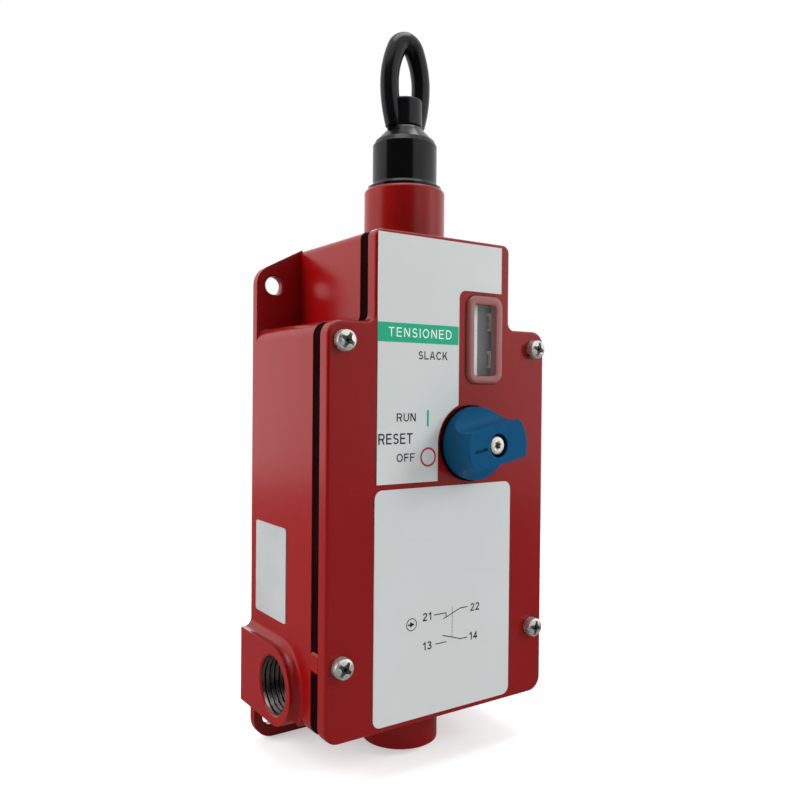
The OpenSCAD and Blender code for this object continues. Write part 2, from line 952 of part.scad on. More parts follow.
// part of a bar bent to radius r, from angle a over the angle t
module bent_bar(r, a, t, bar_r) {
  rotate([0, 0, a])
    rotate_extrude(angle = t)
      translate([r, 0])
        circle(r = bar_r);
}

// the oval eye, lying in its own plane; the thicker end bends take in the ends of the side bars
module eye_oval() {
  for (m = [0, 1])
    mirror([m, 0, 0])
      translate([-eye_side_x, 0, 0])
        bent_bar(eye_side_r, -eye_turn, 2 * eye_turn, eye_bar_r);
  for (m = [0, 1])
    mirror([0, m, 0])
      translate([0, eye_end_z, 0])
        bent_bar(eye_end_r, eye_turn - 5, 190 - 2 * eye_turn, eye_bar_r + 0.2);
}

module rope_eye() {
  color("black")
    translate([0, shaft_y, 0])
      rotate([0, 0, eye_angle])
        difference() {
          union() {
            translate([0, 0, ring_z])
              rotate([90, 0, 0])
                eye_oval();
            translate([0, 0, eye_bottom])
              cylinder(h = stem_h, r = eye_stem_r);
          }
          translate([-20, -20, eye_bottom - 20])
            cube([40, 40, 20]);
          translate([0, 0, eye_bottom - cut])
            cylinder(h = shaft_top - eye_bottom + cut + seat_gap, r = shaft_r + seat_gap);
        }
}

module pull_shaft() {
  color("lightsteelblue")
    difference() {
      on_shaft(shaft_low, shaft_top - shaft_low, shaft_r);
      shaft_ring(clip_z - 0.1, clip_t + 0.2, shaft_r + 2, shaft_r - 0.8);
      bar_x(-collar_r, shaft_y, pin_z, 2 * collar_r, pin_r + seat_gap);
    }
}

module upper_bush() {
  color("peru")
    shaft_ring(guide_low + 1, guide_h, guide_r - seat_gap, shaft_r + bearing_gap);
}

module lower_bush() {
  color("peru")
    shaft_ring(low_guide_z + seat_gap, low_guide_h, low_guide_r - seat_gap, shaft_r + bearing_gap);
}

module tension_spring() {
  color("silver")
    translate([0, shaft_y, spring_low + seat_gap])
      coil(spring_r, spring_wire_r, spring_high - spring_low - 2 * seat_gap, spring_turns, 6, 14);
}

module upper_spring_seat() {
  color("gray")
    shaft_ring(spring_high, seat_t - seat_gap, seat_r, shaft_r + run_gap);
}

module lower_spring_seat() {
  color("gray")
    difference() {
      shaft_ring(spring_low - cup_t, cup_t, seat_r, shaft_r + seat_gap);
      shaft_ring(spring_low - cup_t - cut, cup_t + cut - 1.5, seat_r - 1.5, shaft_r + 2);
    }
}

module shaft_retaining_ring() {
  color("gray")
    difference() {
      shaft_ring(clip_z, clip_t, shaft_r + 3, shaft_r - 0.75);
      translate([-(shaft_r - 0.9), shaft_y, clip_z - cut])
        cube([2 * (shaft_r - 0.9), 20, clip_t + 2 * cut]);
    }
}

module tension_indicator() {
  run_y = flag_y + flag_t;
  color("lightslategray")
    difference() {
      union() {
        on_shaft(arm_z, arm_t, 8);
        translate([-4, run_y - 1.2, arm_z])
          cube([flag_x + flag_w / 2 + 4, 7, arm_t]);
        translate([-4, run_y, arm_z])
          cube([8, shaft_y - run_y, arm_t]);
        translate([flag_x - flag_w / 2, flag_y, arm_z])
          cube([flag_w, flag_t, flag_top - arm_z]);
      }
      on_shaft(arm_z - cut, arm_t + 2 * cut, shaft_r + seat_gap);
    }
}

module trip_collar() {
  ramp = collar_r - collar_neck_r;
  flat = (collar_h - 4 - 2 * ramp) / 2;
  color("slategray")
    difference() {
      translate([0, shaft_y, collar_low])
        rotate_extrude()
          polygon([
            [0, 0], [collar_r - 1, 0], [collar_r, 1], [collar_r, flat],
            [collar_neck_r, flat + ramp], [collar_neck_r, flat + ramp + 4],
            [collar_r, flat + 2 * ramp + 4], [collar_r, collar_h - 1],
            [collar_r - 1, collar_h], [0, collar_h]
          ]);
      on_shaft(collar_low - cut, collar_h + 2 * cut, shaft_r + seat_gap);
      bar_x(-collar_r - cut, shaft_y, pin_z, 2 * (collar_r + cut), pin_r + seat_gap);
    }
}

module collar_pin() {
  color("silver")
    bar_x(-collar_r + 0.4, shaft_y, pin_z, 2 * collar_r - 0.8, pin_r);
}

/* ---------- latch ---------- */

module latch_lever() {
  nose_x = -collar_r - run_gap;
  foot_back = cam_front + cam_t;
  color("dimgray")
    difference() {
      union() {
        translate([latch_x, latch_y, latch_z])
          cylinder(h = latch_t, r = latch_boss_r);
        translate([latch_left, foot_back - cam_t, latch_z])
          cube([latch_x + latch_boss_r - latch_left, latch_y - foot_back + cam_t, latch_t]);
        translate([latch_left, foot_back - cam_t, latch_z])
          cube([plate_left - foot_gap - latch_left, cam_t, latch_t]);
        translate([latch_x, shaft_y - 1.5, latch_z])
          cube([nose_x - latch_x - 0.1, 3, latch_t]);
        translate([-0.8, foot_back - cam_t, latch_z])
          cube([plate_left - foot_gap + 0.8, cam_t, latch_t + foot_lift]);
      }
      translate([latch_x, latch_y, latch_z - cut])
        cylinder(h = latch_t + 2 * cut, r = latch_pin_r + bearing_gap);
    }
}

module latch_pin() {
  color("silver")
    translate([latch_x, latch_y, latch_z - latch_post_h]) {
      cylinder(h = latch_post_h + latch_t + run_gap + 0.5, r = latch_pin_r);
      translate([0, 0, latch_post_h + latch_t + run_gap])
        cylinder(h = 1.2, r = latch_pin_r + 1.6);
    }
}

module latch_spring() {
  inner = -body_w / 2 + wall;
  color("silver")
    translate([inner + seat_gap, -26, latch_z + latch_t / 2])
      rotate([0, 90, 0])
        coil(2.6, 0.4, latch_left - inner - 2 * seat_gap, 6, 5, 10);
}

/* ---------- contact block ---------- */

module contact_block() {
  room = block_room_w / 2;
  side = terminal_dx - terminal_w / 2 - seat_gap;
  color("gainsboro")
    difference() {
      translate([block_x - block_w / 2, block_front, block_low])
        cube([block_w, block_d, block_h]);
      translate([block_x - room, block_front - cut, block_low + block_wall])
        cube([2 * room, block_d - 6 + cut, block_h - 2 * block_wall]);
      translate([block_x, plunger_y, block_low + block_h - block_wall - cut])
        cylinder(h = block_wall + 2 * cut, r = plunger_r + bearing_gap);
      for (m = [0, 1])
        translate([block_x, block_front, 0])
          mirror([m, 0, 0])
            for (z = [terminal_low, terminal_high]) {
              translate([side, -cut, z - 4.3])
                cube([block_w, 4 + cut, 8.6]);
              translate([room - cut, 3.9, leaf_z(z) - seat_gap])
                cube([block_w, leaf_len, leaf_t + 2 * seat_gap]);
              bar_y(terminal_dx, z, 12, 12, terminal_screw_r + seat_gap);
            }
      for (s = [-1, 1]) {
        bar_y(block_x + s * block_screw_dx, block_screw_z, block_back + cut, block_d + 2 * cut, block_screw_r + run_gap);
        bar_y(block_x + s * block_screw_dx, block_screw_z, block_front + 3, 3 + cut, 3.3);
      }
    }
}

// flat lid pressed into the mouth of the contact block
module contact_block_cover() {
  room_h = block_h - 2 * block_wall;
  color("whitesmoke")
    translate([block_x - block_room_w / 2 + seat_gap, block_front + seat_gap, block_low + block_wall + seat_gap])
      cube([block_room_w - 2 * seat_gap, 1.5, room_h - 2 * seat_gap]);
}

module contact_plunger() {
  foot_back = cam_front + cam_t;
  color("darkslategray")
    union() {
      translate([block_x, plunger_y, plunger_low])
        cylinder(h = plate_low + 1 - plunger_low, r = plunger_r);
      translate([block_x - plunger_head_w / 2, foot_back - cam_t, plate_low])
        cube([plunger_head_w, plunger_y + plunger_head_w / 2 - foot_back + cam_t, plate_t]);
      translate([plate_left, foot_back - cam_t, plate_low])
        cube([block_x - plate_left, cam_t, plate_t]);
    }
}

module contact_bridges() {
  color("gold")
    for (z = [high_bridge_z, low_bridge_z])
      difference() {
        translate([block_x - block_room_w / 2 + run_gap, plunger_y - bridge_w / 2, z])
          cube([block_room_w - 2 * run_gap, bridge_w, leaf_t]);
        translate([block_x, plunger_y, z - cut])
          cylinder(h = leaf_t + 2 * cut, r = plunger_r + seat_gap);
      }
}

module fixed_contacts() {
  side = terminal_dx - terminal_w / 2;
  color("gold")
    for (m = [0, 1])
      translate([block_x, block_front + 3, 0])
        mirror([m, 0, 0])
          for (z = [terminal_low, terminal_high]) {
            low = min(leaf_z(z), z - 4);
            high = max(leaf_z(z) + leaf_t, z + 4);
            difference() {
              union() {
                translate([side, 0, low])
                  cube([terminal_w, 1 - seat_gap, high - low]);
                translate([side, 0, leaf_z(z)])
                  cube([terminal_w, leaf_len, leaf_t]);
                translate([contact_tab_x, leaf_len - contact_tab_w, leaf_z(z)])
                  cube([side - contact_tab_x + 1, contact_tab_w, leaf_t]);
              }
              bar_y(terminal_dx, z, 3, 6, terminal_screw_r + seat_gap);
            }
          }
}

module terminal_screws() {
  color("silver")
    for (s = [-1, 1])
      for (z = [terminal_low, terminal_high])
        translate([block_x + s * terminal_dx, block_front + 2 - 2 * seat_gap, z])
          rotate([90, 0, 0]) {
            pan_head(2.9, 2);
            translate([0, 0, -terminal_screw_len])
              cylinder(h = terminal_screw_len + 0.5, r = terminal_screw_r);
          }
}

module terminal_clamps() {
  color("silver")
    for (s = [-1, 1])
      for (z = [terminal_low, terminal_high])
        difference() {
          translate([block_x + s * terminal_dx - clamp_w / 2, block_front + 2 - seat_gap, z - clamp_w / 2])
            cube([clamp_w, 1 - seat_gap, clamp_w]);
          bar_y(block_x + s * terminal_dx, z, block_front + 6, 6, terminal_screw_r + seat_gap);
        }
}

module plunger_spring() {
  low = block_low + block_wall;
  color("silver")
    translate([block_x, plunger_y, low + seat_gap])
      coil(1.6, 0.3, plunger_low - low - 2 * seat_gap, 4, 5, 10);
}

module contact_block_screws() {
  color("silver")
    for (s = [-1, 1])
      translate([block_x + s * block_screw_dx, block_front + 3 - seat_gap, block_screw_z])
        rotate([90, 0, 0]) {
          pan_head(2.8, 2);
          translate([0, 0, -block_d - 0.5])
            cylinder(h = block_d + 1, r = block_screw_r);
        }
}

module ground_washer() {
  color("silver")
    difference() {
      bar_y(ground_x, ground_z, ground_y, 1.2, 5);
      bar_y(ground_x, ground_z, ground_y + cut, 1.2 + 2 * cut, screw_r + 0.2);
    }
}

module ground_screw() {
  color("silver")
    translate([ground_x, ground_y - 1.2 - seat_gap, ground_z])
      rotate([90, 0, 0]) {
        pan_head(3.6, 2.6);
        translate([0, 0, -8])
          cylinder(h = 8.5, r = screw_r);
      }
}

/* ---------- output ---------- */

housing();
cover();
cover_gasket();
cover_screws();
cover_lock_washers();
upper_label();
lower_label();
side_label();
window_lens();
reset_knob();
knob_screw();
knob_spindle();
spindle_seal();
reset_cam();
cam_clip();
pull_boot();
rope_eye();
pull_shaft();
upper_bush();
lower_bush();
tension_spring();
upper_spring_seat();
lower_spring_seat();
shaft_retaining_ring();
tension_indicator();
trip_collar();
collar_pin();
latch_lever();
latch_pin();
latch_spring();
contact_block();
contact_block_cover();
contact_plunger();
contact_bridges();
fixed_contacts();
terminal_screws();
terminal_clamps();
plunger_spring();
contact_block_screws();
ground_screw();
ground_washer();
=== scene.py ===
import json
import math
import bpy
import bmesh
from mathutils import Matrix, Vector


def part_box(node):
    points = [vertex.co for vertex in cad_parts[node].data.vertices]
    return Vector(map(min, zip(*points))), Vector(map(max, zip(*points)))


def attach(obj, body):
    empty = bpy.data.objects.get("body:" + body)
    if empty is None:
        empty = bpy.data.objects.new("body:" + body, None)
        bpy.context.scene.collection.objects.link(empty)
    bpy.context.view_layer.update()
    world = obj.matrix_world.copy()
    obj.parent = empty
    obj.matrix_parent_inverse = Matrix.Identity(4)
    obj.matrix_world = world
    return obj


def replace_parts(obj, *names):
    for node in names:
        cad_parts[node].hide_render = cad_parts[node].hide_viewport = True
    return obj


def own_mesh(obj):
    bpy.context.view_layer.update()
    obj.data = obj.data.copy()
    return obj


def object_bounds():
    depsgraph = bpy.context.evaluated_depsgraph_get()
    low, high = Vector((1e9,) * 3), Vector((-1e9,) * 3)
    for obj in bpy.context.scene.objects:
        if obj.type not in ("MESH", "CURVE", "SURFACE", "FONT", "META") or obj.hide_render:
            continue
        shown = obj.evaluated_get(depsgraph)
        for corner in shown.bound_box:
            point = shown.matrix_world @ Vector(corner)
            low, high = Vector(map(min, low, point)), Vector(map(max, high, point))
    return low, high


# Looks of the rope pull switch: materials for its solids, and finer pieces over some of them.
# Shapes are written in millimetres.

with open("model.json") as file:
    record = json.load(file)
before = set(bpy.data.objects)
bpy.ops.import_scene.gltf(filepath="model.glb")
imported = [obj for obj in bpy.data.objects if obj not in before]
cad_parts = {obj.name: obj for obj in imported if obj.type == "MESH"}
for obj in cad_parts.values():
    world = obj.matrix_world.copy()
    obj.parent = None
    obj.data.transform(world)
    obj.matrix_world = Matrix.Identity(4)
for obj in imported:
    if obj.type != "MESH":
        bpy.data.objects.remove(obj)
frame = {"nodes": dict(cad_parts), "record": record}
NODES = frame["nodes"]
size_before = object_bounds()
SCENE = bpy.context.scene
MM = 0.001
WHITE = (1, 1, 1, 1)
EDGE_SAMPLES = 4


def srgb(r, g, b):
    """A colour given as 0..255 screen values, in linear light."""
    def one(v):
        v /= 255.0
        return v / 12.92 if v <= 0.04045 else ((v + 0.055) / 1.055) ** 2.4
    return (one(r), one(g), one(b), 1.0)


# ---------------------------------------------------------------- materials

class Surface:
    """One node material, built up in steps: colour, finish, relief."""

    def __init__(self, name):
        self.material = bpy.data.materials.new(name)
        self.material.use_nodes = True
        self.tree = self.material.node_tree
        self.tree.nodes.clear()
        out = self.node("OutputMaterial")
        self.shader = self.node("BsdfPrincipled")
        self.link(self.shader.outputs[0], out.inputs[0])
        self.coords = self.node("TexCoord").outputs["Object"]
        self.normal = None

    def node(self, kind, **values):
        """A new node, with its unlinked inputs set by name."""
        n = self.tree.nodes.new("ShaderNode" + kind)
        for name, v in values.items():
            n.inputs[name.replace("_", " ")].default_value = v
        return n

    def link(self, a, b):
        self.tree.links.new(a, b)

    def feed(self, socket, v):
        """A number or colour is set on the socket itself, and anything else is linked to it."""
        if isinstance(v, (int, float, tuple)):
            socket.default_value = v
        else:
            self.link(v, socket)

    def noise(self, scale, detail=3.0, rough=0.55, stretch=(1, 1, 1), distortion=0.0):
        """Noise about 0.5, with so many blots to the metre."""
        mapping = self.node("Mapping", Scale=stretch)
        self.link(self.coords, mapping.inputs["Vector"])
        n = self.node("TexNoise", Scale=scale, Detail=detail, Roughness=rough,
                      Distortion=distortion)
        self.link(mapping.outputs[0], n.inputs["Vector"])
        return n.outputs["Fac"]

    def ramp(self, value, low, high, a=0.0, b=1.0):
        """value from low..high brought to a..b, and held there beyond."""
        n = self.node("MapRange", From_Min=low, From_Max=high, To_Min=a, To_Max=b)
        self.link(value, n.inputs["Value"])
        return n.outputs[0]

    def times(self, a, b):
        n = self.node("Math")
        n.operation = "MULTIPLY"
        for socket, v in zip(n.inputs, (a, b)):
            self.feed(socket, v)
        return n.outputs[0]

    def mix(self, factor, a, b):
        n = self.node("Mix")
        n.data_type = "RGBA"
        n.clamp_factor = True
        for socket, v in ((n.inputs[0], factor), (n.inputs[6], a), (n.inputs[7], b)):
            self.feed(socket, v)
        return n.outputs[2]

    def color(self, base, *steps):
        """A base colour, then (mask, colour) pairs laid over it."""
        for mask, other in steps:
            base = self.mix(mask, base, other)
        self.feed(self.shader.inputs["Base Color"], base)

    def rough(self, value, low, high):
        self.link(self.ramp(value, 0.3, 0.7, low, high), self.shader.inputs["Roughness"])

    def bevel(self, radius):
        n = self.node("Bevel", Radius=radius)
        n.samples = EDGE_SAMPLES
        return n.outputs[0]

    def round_edges(self, radius):
        self.normal = self.bevel(radius)
        self.link(self.normal, self.shader.inputs["Normal"])

    def edge_mask(self, radius):
        """1 along the edges, 0 on the open faces."""
        dot = self.node("VectorMath")
        dot.operation = "DOT_PRODUCT"
        self.link(self.bevel(radius), dot.inputs[0])
        self.link(self.node("NewGeometry").outputs["Normal"], dot.inputs[1])
        return self.ramp(dot.outputs["Value"], 0.995, 0.86)

    def shade_mask(self, distance):
        """1 in narrow corners and recesses, 0 on open faces; the mask for painted shade."""
        n = self.node("AmbientOcclusion", Distance=distance)
        n.samples = EDGE_SAMPLES
        return self.ramp(n.outputs["AO"], 0.75, 0.3)

    def bump(self, height, strength, distance):
        n = self.node("Bump", Strength=strength, Distance=distance)
        self.link(height, n.inputs["Height"])
        if self.normal is not None:
            self.link(self.normal, n.inputs["Normal"])
        self.normal = n.outputs[0]
        self.link(self.normal, self.shader.inputs["Normal"])

    def glow(self, strength):
        self.shader.inputs["Emission Color"].default_value = WHITE
        self.feed(self.shader.inputs["Emission Strength"], strength)

    def set(self, **values):
        for k, v in values.items():
            self.shader.inputs[k.replace("_", " ")].default_value = v


def enamel(name, base, deep, light, shadow):
    """Glossy paint on a casting: faint mottle, lighter worn edges, painted shade in narrow
    corners.
    """
    s = Surface(name)
    worn = s.times(s.edge_mask(0.9 * MM), s.ramp(s.noise(260, 4), 0.5, 0.72))
    s.color(base,
            (s.ramp(s.noise(35, 2), 0.4, 0.66, 0, 0.3), deep),
            (s.ramp(s.noise(700, 3), 0.62, 0.8, 0, 0.12), light),
            (s.times(worn, 0.3), light),
            (s.times(s.shade_mask(2.2 * MM), 0.55), shadow))
    s.rough(s.noise(300, 2), 0.2, 0.26)
    s.round_edges(0.45 * MM)
    s.bump(s.noise(620, 2, 0.5), 0.08, 0.04 * MM)
    s.set(IOR=1.42)
    return s.material


def rubber(name, base, light, low, high, grain, dust, ior):
    """Rubber or black moulded plastic with specks of dust; low and high are its roughness."""
    s = Surface(name)
    s.color(base,
            (s.ramp(s.noise(60, 3), 0.4, 0.7, 0, 0.5), light),
            (s.ramp(s.noise(900, 4), 0.68, 0.85, 0, dust), srgb(120, 118, 112)))
    s.rough(s.noise(90, 3), low, high)
    s.round_edges(0.35 * MM)
    s.bump(s.noise(1300, 3), grain, 0.03 * MM)
    s.set(IOR=ior)
    return s.material


def metal(name, base, dark, low, high, stretch=(1, 1, 1), scale=500, tint=None, bare=1.0):
    """Metal with tool marks or grain.

    tint: a second colour in blots; bare: 1 for bare metal, less under a dull plating.
    """
    s = Surface(name)
    grain = s.noise(scale, 4, 0.6, stretch)
    blot = s.noise(150, 3)
    if tint:
        s.color(s.mix(s.ramp(s.noise(240, 3), 0.42, 0.62), base, tint),
                (s.ramp(blot, 0.45, 0.7, 0, 0.5), dark))
    else:
        s.color(base,
                (s.ramp(blot, 0.45, 0.7, 0, 0.6), dark),
                (s.ramp(grain, 0.6, 0.8, 0, 0.35), dark),
                # the last layer is painted shade in narrow recesses
                (s.times(s.shade_mask(1.2 * MM), 0.9), srgb(30, 32, 28)))
    s.rough(grain, low, high)
    s.round_edges(0.12 * MM)
    s.bump(grain, 0.15, 0.02 * MM)
    s.set(Metallic=bare)
    return s.material


def film(name, base, low, high):
    """A printed plastic label: faint mottle, a few scuffs, slightly dusty."""
    s = Surface(name)
    scuff = s.ramp(s.noise(90, 5, 0.7, (0.3, 1, 1.6), 0.6), 0.62, 0.72)
    s.color(base,
            (s.ramp(s.noise(25, 2), 0.4, 0.65, 0, 0.35), srgb(192, 198, 194)),
            (s.times(scuff, 0.12), srgb(150, 150, 146)),
            (s.ramp(s.noise(1500, 2), 0.7, 0.85, 0, 0.15), srgb(160, 160, 156)))
    s.rough(s.noise(130, 3), low, high)
    s.bump(s.noise(500, 2), 0.06, 0.03 * MM)
    return s.material


def ink(name, base, light):
    """Printing ink, slightly uneven."""
    s = Surface(name)
    s.color(base, (s.ramp(s.noise(900, 4), 0.5, 0.75, 0, 0.5), light))
    s.rough(s.noise(400, 2), 0.4, 0.53)
    s.bump(s.noise(1500, 2), 0.1, 0.01 * MM)
    return s.material


def plastic(name, base, dark, low=0.35, high=0.5):
    """Plain moulding; low and high are its roughness."""
    s = Surface(name)
    s.color(base, (s.ramp(s.noise(80, 3), 0.4, 0.7, 0, 0.6), dark))
    s.rough(s.noise(200, 3), low, high)
    s.round_edges(0.2 * MM)
    s.bump(s.noise(1200, 3), 0.15, 0.02 * MM)
    return s.material


def knob_plastic():
    """Swirled blue moulding, with a painted highlight along its edges and painted shade towards
    the cover.
    """
    s = Surface("Knob blue")
    swirl = s.noise(70, 3, 0.5, (1, 1, 1), 1.2)
    s.color(srgb(2, 76, 114),
            (s.ramp(swirl, 0.4, 0.65, 0, 0.4), srgb(2, 69, 107)),
            (s.times(s.edge_mask(0.7 * MM), 0.12), srgb(40, 110, 150)),
            (s.times(s.shade_mask(7 * MM), 0.85), srgb(0, 14, 44)))
    s.rough(s.noise(160, 3), 0.46, 0.56)
    s.round_edges(0.6 * MM)
    s.bump(s.noise(800, 3), 0.1, 0.03 * MM)
    s.set(IOR=1.22)
    return s.material


def clear_plastic():
    """The pane of the window, with a faint haze."""
    s = Surface("Window clear")
    haze = s.ramp(s.noise(300, 3), 0.6, 0.8, 0, 0.2)
    s.color(srgb(170, 160, 160), (haze, srgb(150, 130, 130)))
    s.rough(s.noise(200, 3), 0.04, 0.12)
    s.bump(s.noise(400, 2), 0.05, 0.03 * MM)
    s.set(IOR=1.49, Alpha=0.06)
    return s.material


def bezel_plastic():
    """The frosted border of the clear window, with the red of the cover showing through."""
    s = Surface("Window bezel")
    s.color(srgb(146, 90, 87), (s.ramp(s.noise(60, 2), 0.4, 0.7, 0, 0.5), srgb(136, 80, 78)))
    s.rough(s.noise(200, 3), 0.16, 0.24)
    s.bump(s.noise(400, 2), 0.03, 0.02 * MM)
    s.set(IOR=1.5)
    return s.material


RED = enamel("Red enamel", srgb(131, 7, 7), srgb(123, 4, 5), srgb(164, 38, 36), srgb(52, 0, 3))
# black rubber with a red tint: painted reflection of the red paint beside the gasket, and painted
# shade on red under the knob
RUBBER = rubber("Gasket rubber", srgb(16, 4, 4), srgb(26, 8, 7), 0.7, 0.85, 0.2, 0.04, 1.08)
BOOT = rubber("Boot rubber", srgb(9, 9, 10), srgb(14, 14, 15), 0.13, 0.2, 0.06, 0.02, 1.4)
EYE = rubber("Eye black", srgb(10, 10, 12), srgb(15, 16, 18), 0.14, 0.22, 0.06, 0.02, 1.4)
ZINC = metal("Zinc plated steel", srgb(222, 222, 214), srgb(150, 156, 148), 0.16, 0.3, bare=0.75)
THREAD = metal("Cut thread", srgb(128, 124, 118), srgb(66, 62, 58), 0.22, 0.4)
BRIGHT = metal("Bright steel", srgb(235, 232, 226), srgb(200, 198, 192), 0.15, 0.3,
               scale=900, bare=0.6)
TURNED = metal("Turned steel", srgb(196, 198, 200), srgb(140, 142, 145), 0.18, 0.35,
               (1, 1, 12), 300)
PRESSED = metal("Pressed steel", srgb(176, 178, 180), srgb(120, 122, 125), 0.3, 0.5)
SPRING = metal("Spring steel", srgb(150, 150, 150), srgb(95, 92, 90), 0.25, 0.45)
COLLAR = metal("Collar steel", srgb(158, 160, 165), srgb(105, 108, 112), 0.25, 0.42,
               (1, 1, 8), 260)
BRASS = metal("Brass", srgb(212, 172, 96), srgb(160, 118, 58), 0.22, 0.4)
BRONZE = metal("Bush bronze", srgb(176, 128, 82), srgb(120, 82, 52), 0.32, 0.5,
               tint=srgb(150, 105, 66))
GREEN_STEEL = metal("Green passivated steel", srgb(92, 148, 92), srgb(48, 96, 56), 0.28, 0.45)
UPPER = film("Upper label film", srgb(200, 205, 203), 0.3, 0.42)
LOWER = film("Lower label film", srgb(197, 201, 200), 0.3, 0.42)
# darker than the front labels' film: painted shade on the side of the housing
SIDE = film("Side label film", srgb(156, 159, 159), 0.4, 0.55)
BLUE = knob_plastic()
CLEAR = clear_plastic()
GREY = plastic("Indicator grey", srgb(120, 127, 132), srgb(106, 115, 121), 0.4, 0.55)
BEZEL = bezel_plastic()
# dark: painted shade inside the window's slot
LINING = plastic("Window lining", srgb(58, 52, 50), srgb(44, 40, 38), 0.3, 0.45)
CATCH = plastic("Window catches", srgb(176, 172, 150), srgb(150, 146, 124), 0.3, 0.45)
CROSS_SHADE = plastic("Dark recess", srgb(46, 52, 46), srgb(28, 32, 28), 0.3, 0.45)
SOCKET = plastic("Recess shadow", srgb(92, 76, 58), srgb(64, 54, 42), 0.4, 0.55)
MOULDING = plastic("Block moulding", srgb(58, 60, 62), srgb(40, 42, 44))
PLUNGER = plastic("Plunger moulding", srgb(214, 206, 184), srgb(186, 176, 150))
INK_BLACK = ink("Ink black", srgb(18, 19, 21), srgb(32, 34, 36))
INK_WHITE = ink("Ink white", srgb(238, 242, 240), srgb(214, 222, 218))
INK_GREEN = ink("Ink green", srgb(0, 160, 120), srgb(14, 172, 132))
INK_RED = ink("Ink red", srgb(178, 36, 60), srgb(196, 70, 88))

BY_SLOT = {
    "red_enamel": RED, "gasket_rubber": RUBBER, "zinc_steel": ZINC, "upper_label_film": UPPER,
    "lower_label_film": LOWER, "side_label_film": SIDE, "window_clear": CLEAR,
    "knob_blue": BLUE, "bright_steel": BRIGHT, "turned_steel": TURNED, "cam_brass": BRASS,
    "spring_steel": SPRING, "boot_rubber": BOOT, "eye_black": EYE, "bush_bronze": BRONZE,
    "pressed_steel": PRESSED, "indicator_grey": GREY, "collar_steel": COLLAR,
    "block_moulding": MOULDING, "plunger_moulding": PLUNGER, "contact_brass": BRASS,
    "ground_green_steel": GREEN_STEEL,
}
for node in NODES.values():
    for slot in node.material_slots:
        slot.material = BY_SLOT[slot.material.name.split(".")[0]]


# --------------------------------------------------------- pieces and meshes

def in_mm(corners):
    """The two corners of a box, from metres to millimetres."""
    return [corner / MM for corner in corners]


def add_object(name, data):
    o = bpy.data.objects.new(name, data)
    SCENE.collection.objects.link(o)
    return o


def to_mesh(name, bm):
    mesh = bpy.data.meshes.new(name)
    bm.to_mesh(mesh)
    bm.free()
    return mesh


def piece(name, shape, material, body="housing_body", smooth=35):
    """A piece from a bmesh or a mesh.

    Edges sharper than smooth, in degrees, stay sharp, and 0 leaves every face flat.
    """
    if isinstance(shape, bmesh.types.BMesh):
        bmesh.ops.recalc_face_normals(shape, faces=shape.faces)
        shape = to_mesh(name, shape)
    o = add_object(name, shape)
    shape.materials.clear()
    shape.materials.append(material)
    if smooth:
        shape.shade_smooth()
        shape.set_sharp_from_angle(angle=math.radians(smooth))
    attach(o, body)
    return o


def vert(bm, x, y, z):
    """A vertex at a place in millimetres."""
    return bm.verts.new((x * MM, y * MM, z * MM))


def circle(r, steps):
    """The points of a circle, as pairs of offsets from its centre."""
    turns = [2 * math.pi * k / steps for k in range(steps)]
    return [(r * math.cos(a), r * math.sin(a)) for a in turns]


def bridge(bm, loops, closed=False):
    """Quads between loops of equal length; closed joins the last loop to the first as well."""
    for p, q in zip(loops, loops[1:] + loops[:1] if closed else loops[1:]):
        for k in range(len(p)):
            j = (k + 1) % len(p)
            bm.faces.new((p[k], p[j], q[j], q[k]))


def skin(bm, loops):
    """One solid through the loops, with a face at each end."""
    bridge(bm, loops)
    bm.faces.new(loops[0][::-1])
    bm.faces.new(loops[-1])


def bend(cx, cz, rx, rz, first, last, steps=20):
    """Points on an ellipse between two angles in degrees."""
    turns = [math.radians(first + (last - first) * i / steps) for i in range(steps + 1)]
    return [(cx + rx * math.cos(a), cz + rz * math.sin(a)) for a in turns]


def rectangle(x0, z0, x1, z1):
    """Outline of a rectangle in the X-Z plane."""
    return [(x0, z0), (x1, z0), (x1, z1), (x0, z1)]


def rounded(x0, z0, x1, z1, r, steps):
    """Outline of a rounded rectangle in the X-Z plane."""
    corners = ((x1 - r, z0 + r, -90), (x1 - r, z1 - r, 0), (x0 + r, z1 - r, 90),
               (x0 + r, z0 + r, 180))
    return [p for cx, cz, a in corners for p in bend(cx, cz, r, r, a, a + 90, steps)]


def plate(bm, outline, y0, y1, top=0.0):
    """Solid slab between the planes y0 (front) and y1 (back); top shrinks the front edge."""
    mx = sum(x for x, z in outline) / len(outline)
    mz = sum(z for x, z in outline) / len(outline)
    front = []
    for x, z in outline:
        d = Vector((x - mx, z - mz))
        d *= 1 - top / max(d.length, 1e-3)
        front.append(vert(bm, mx + d.x, y0, mz + d.y))
    skin(bm, [front, [vert(bm, x, y1, z) for x, z in outline]])


def ring(bm, cx, cz, r0, r1, y0, y1, steps=64):
    """Flat ring facing -Y."""
    loops = []
    for r, y in ((r0, y0), (r1, y0), (r1, y1), (r0, y1)):
        loops.append([vert(bm, cx + u, y, cz + v) for u, v in circle(r, steps)])
    bridge(bm, loops, True)


def lathe(bm, cx, cy, profile, steps=64):
    """A solid of revolution about a vertical line; profile is a closed list of (radius, z)."""
    loops = []
    for r, z in profile:
        loops.append([vert(bm, cx + u, cy + v, z) for u, v in circle(r, steps)])
    bridge(bm, loops, True)


def frame_ring(bm, outer, inner, levels):
    """A ring between two outlines of equal length; levels: (share of the way inwards, y)."""
    loops = []
    for share, y in levels:
        loops.append([vert(bm, xo + (xi - xo) * share, y, zo + (zi - zo) * share)
                      for (xo, zo), (xi, zi) in zip(outer, inner)])
    bridge(bm, loops, True)


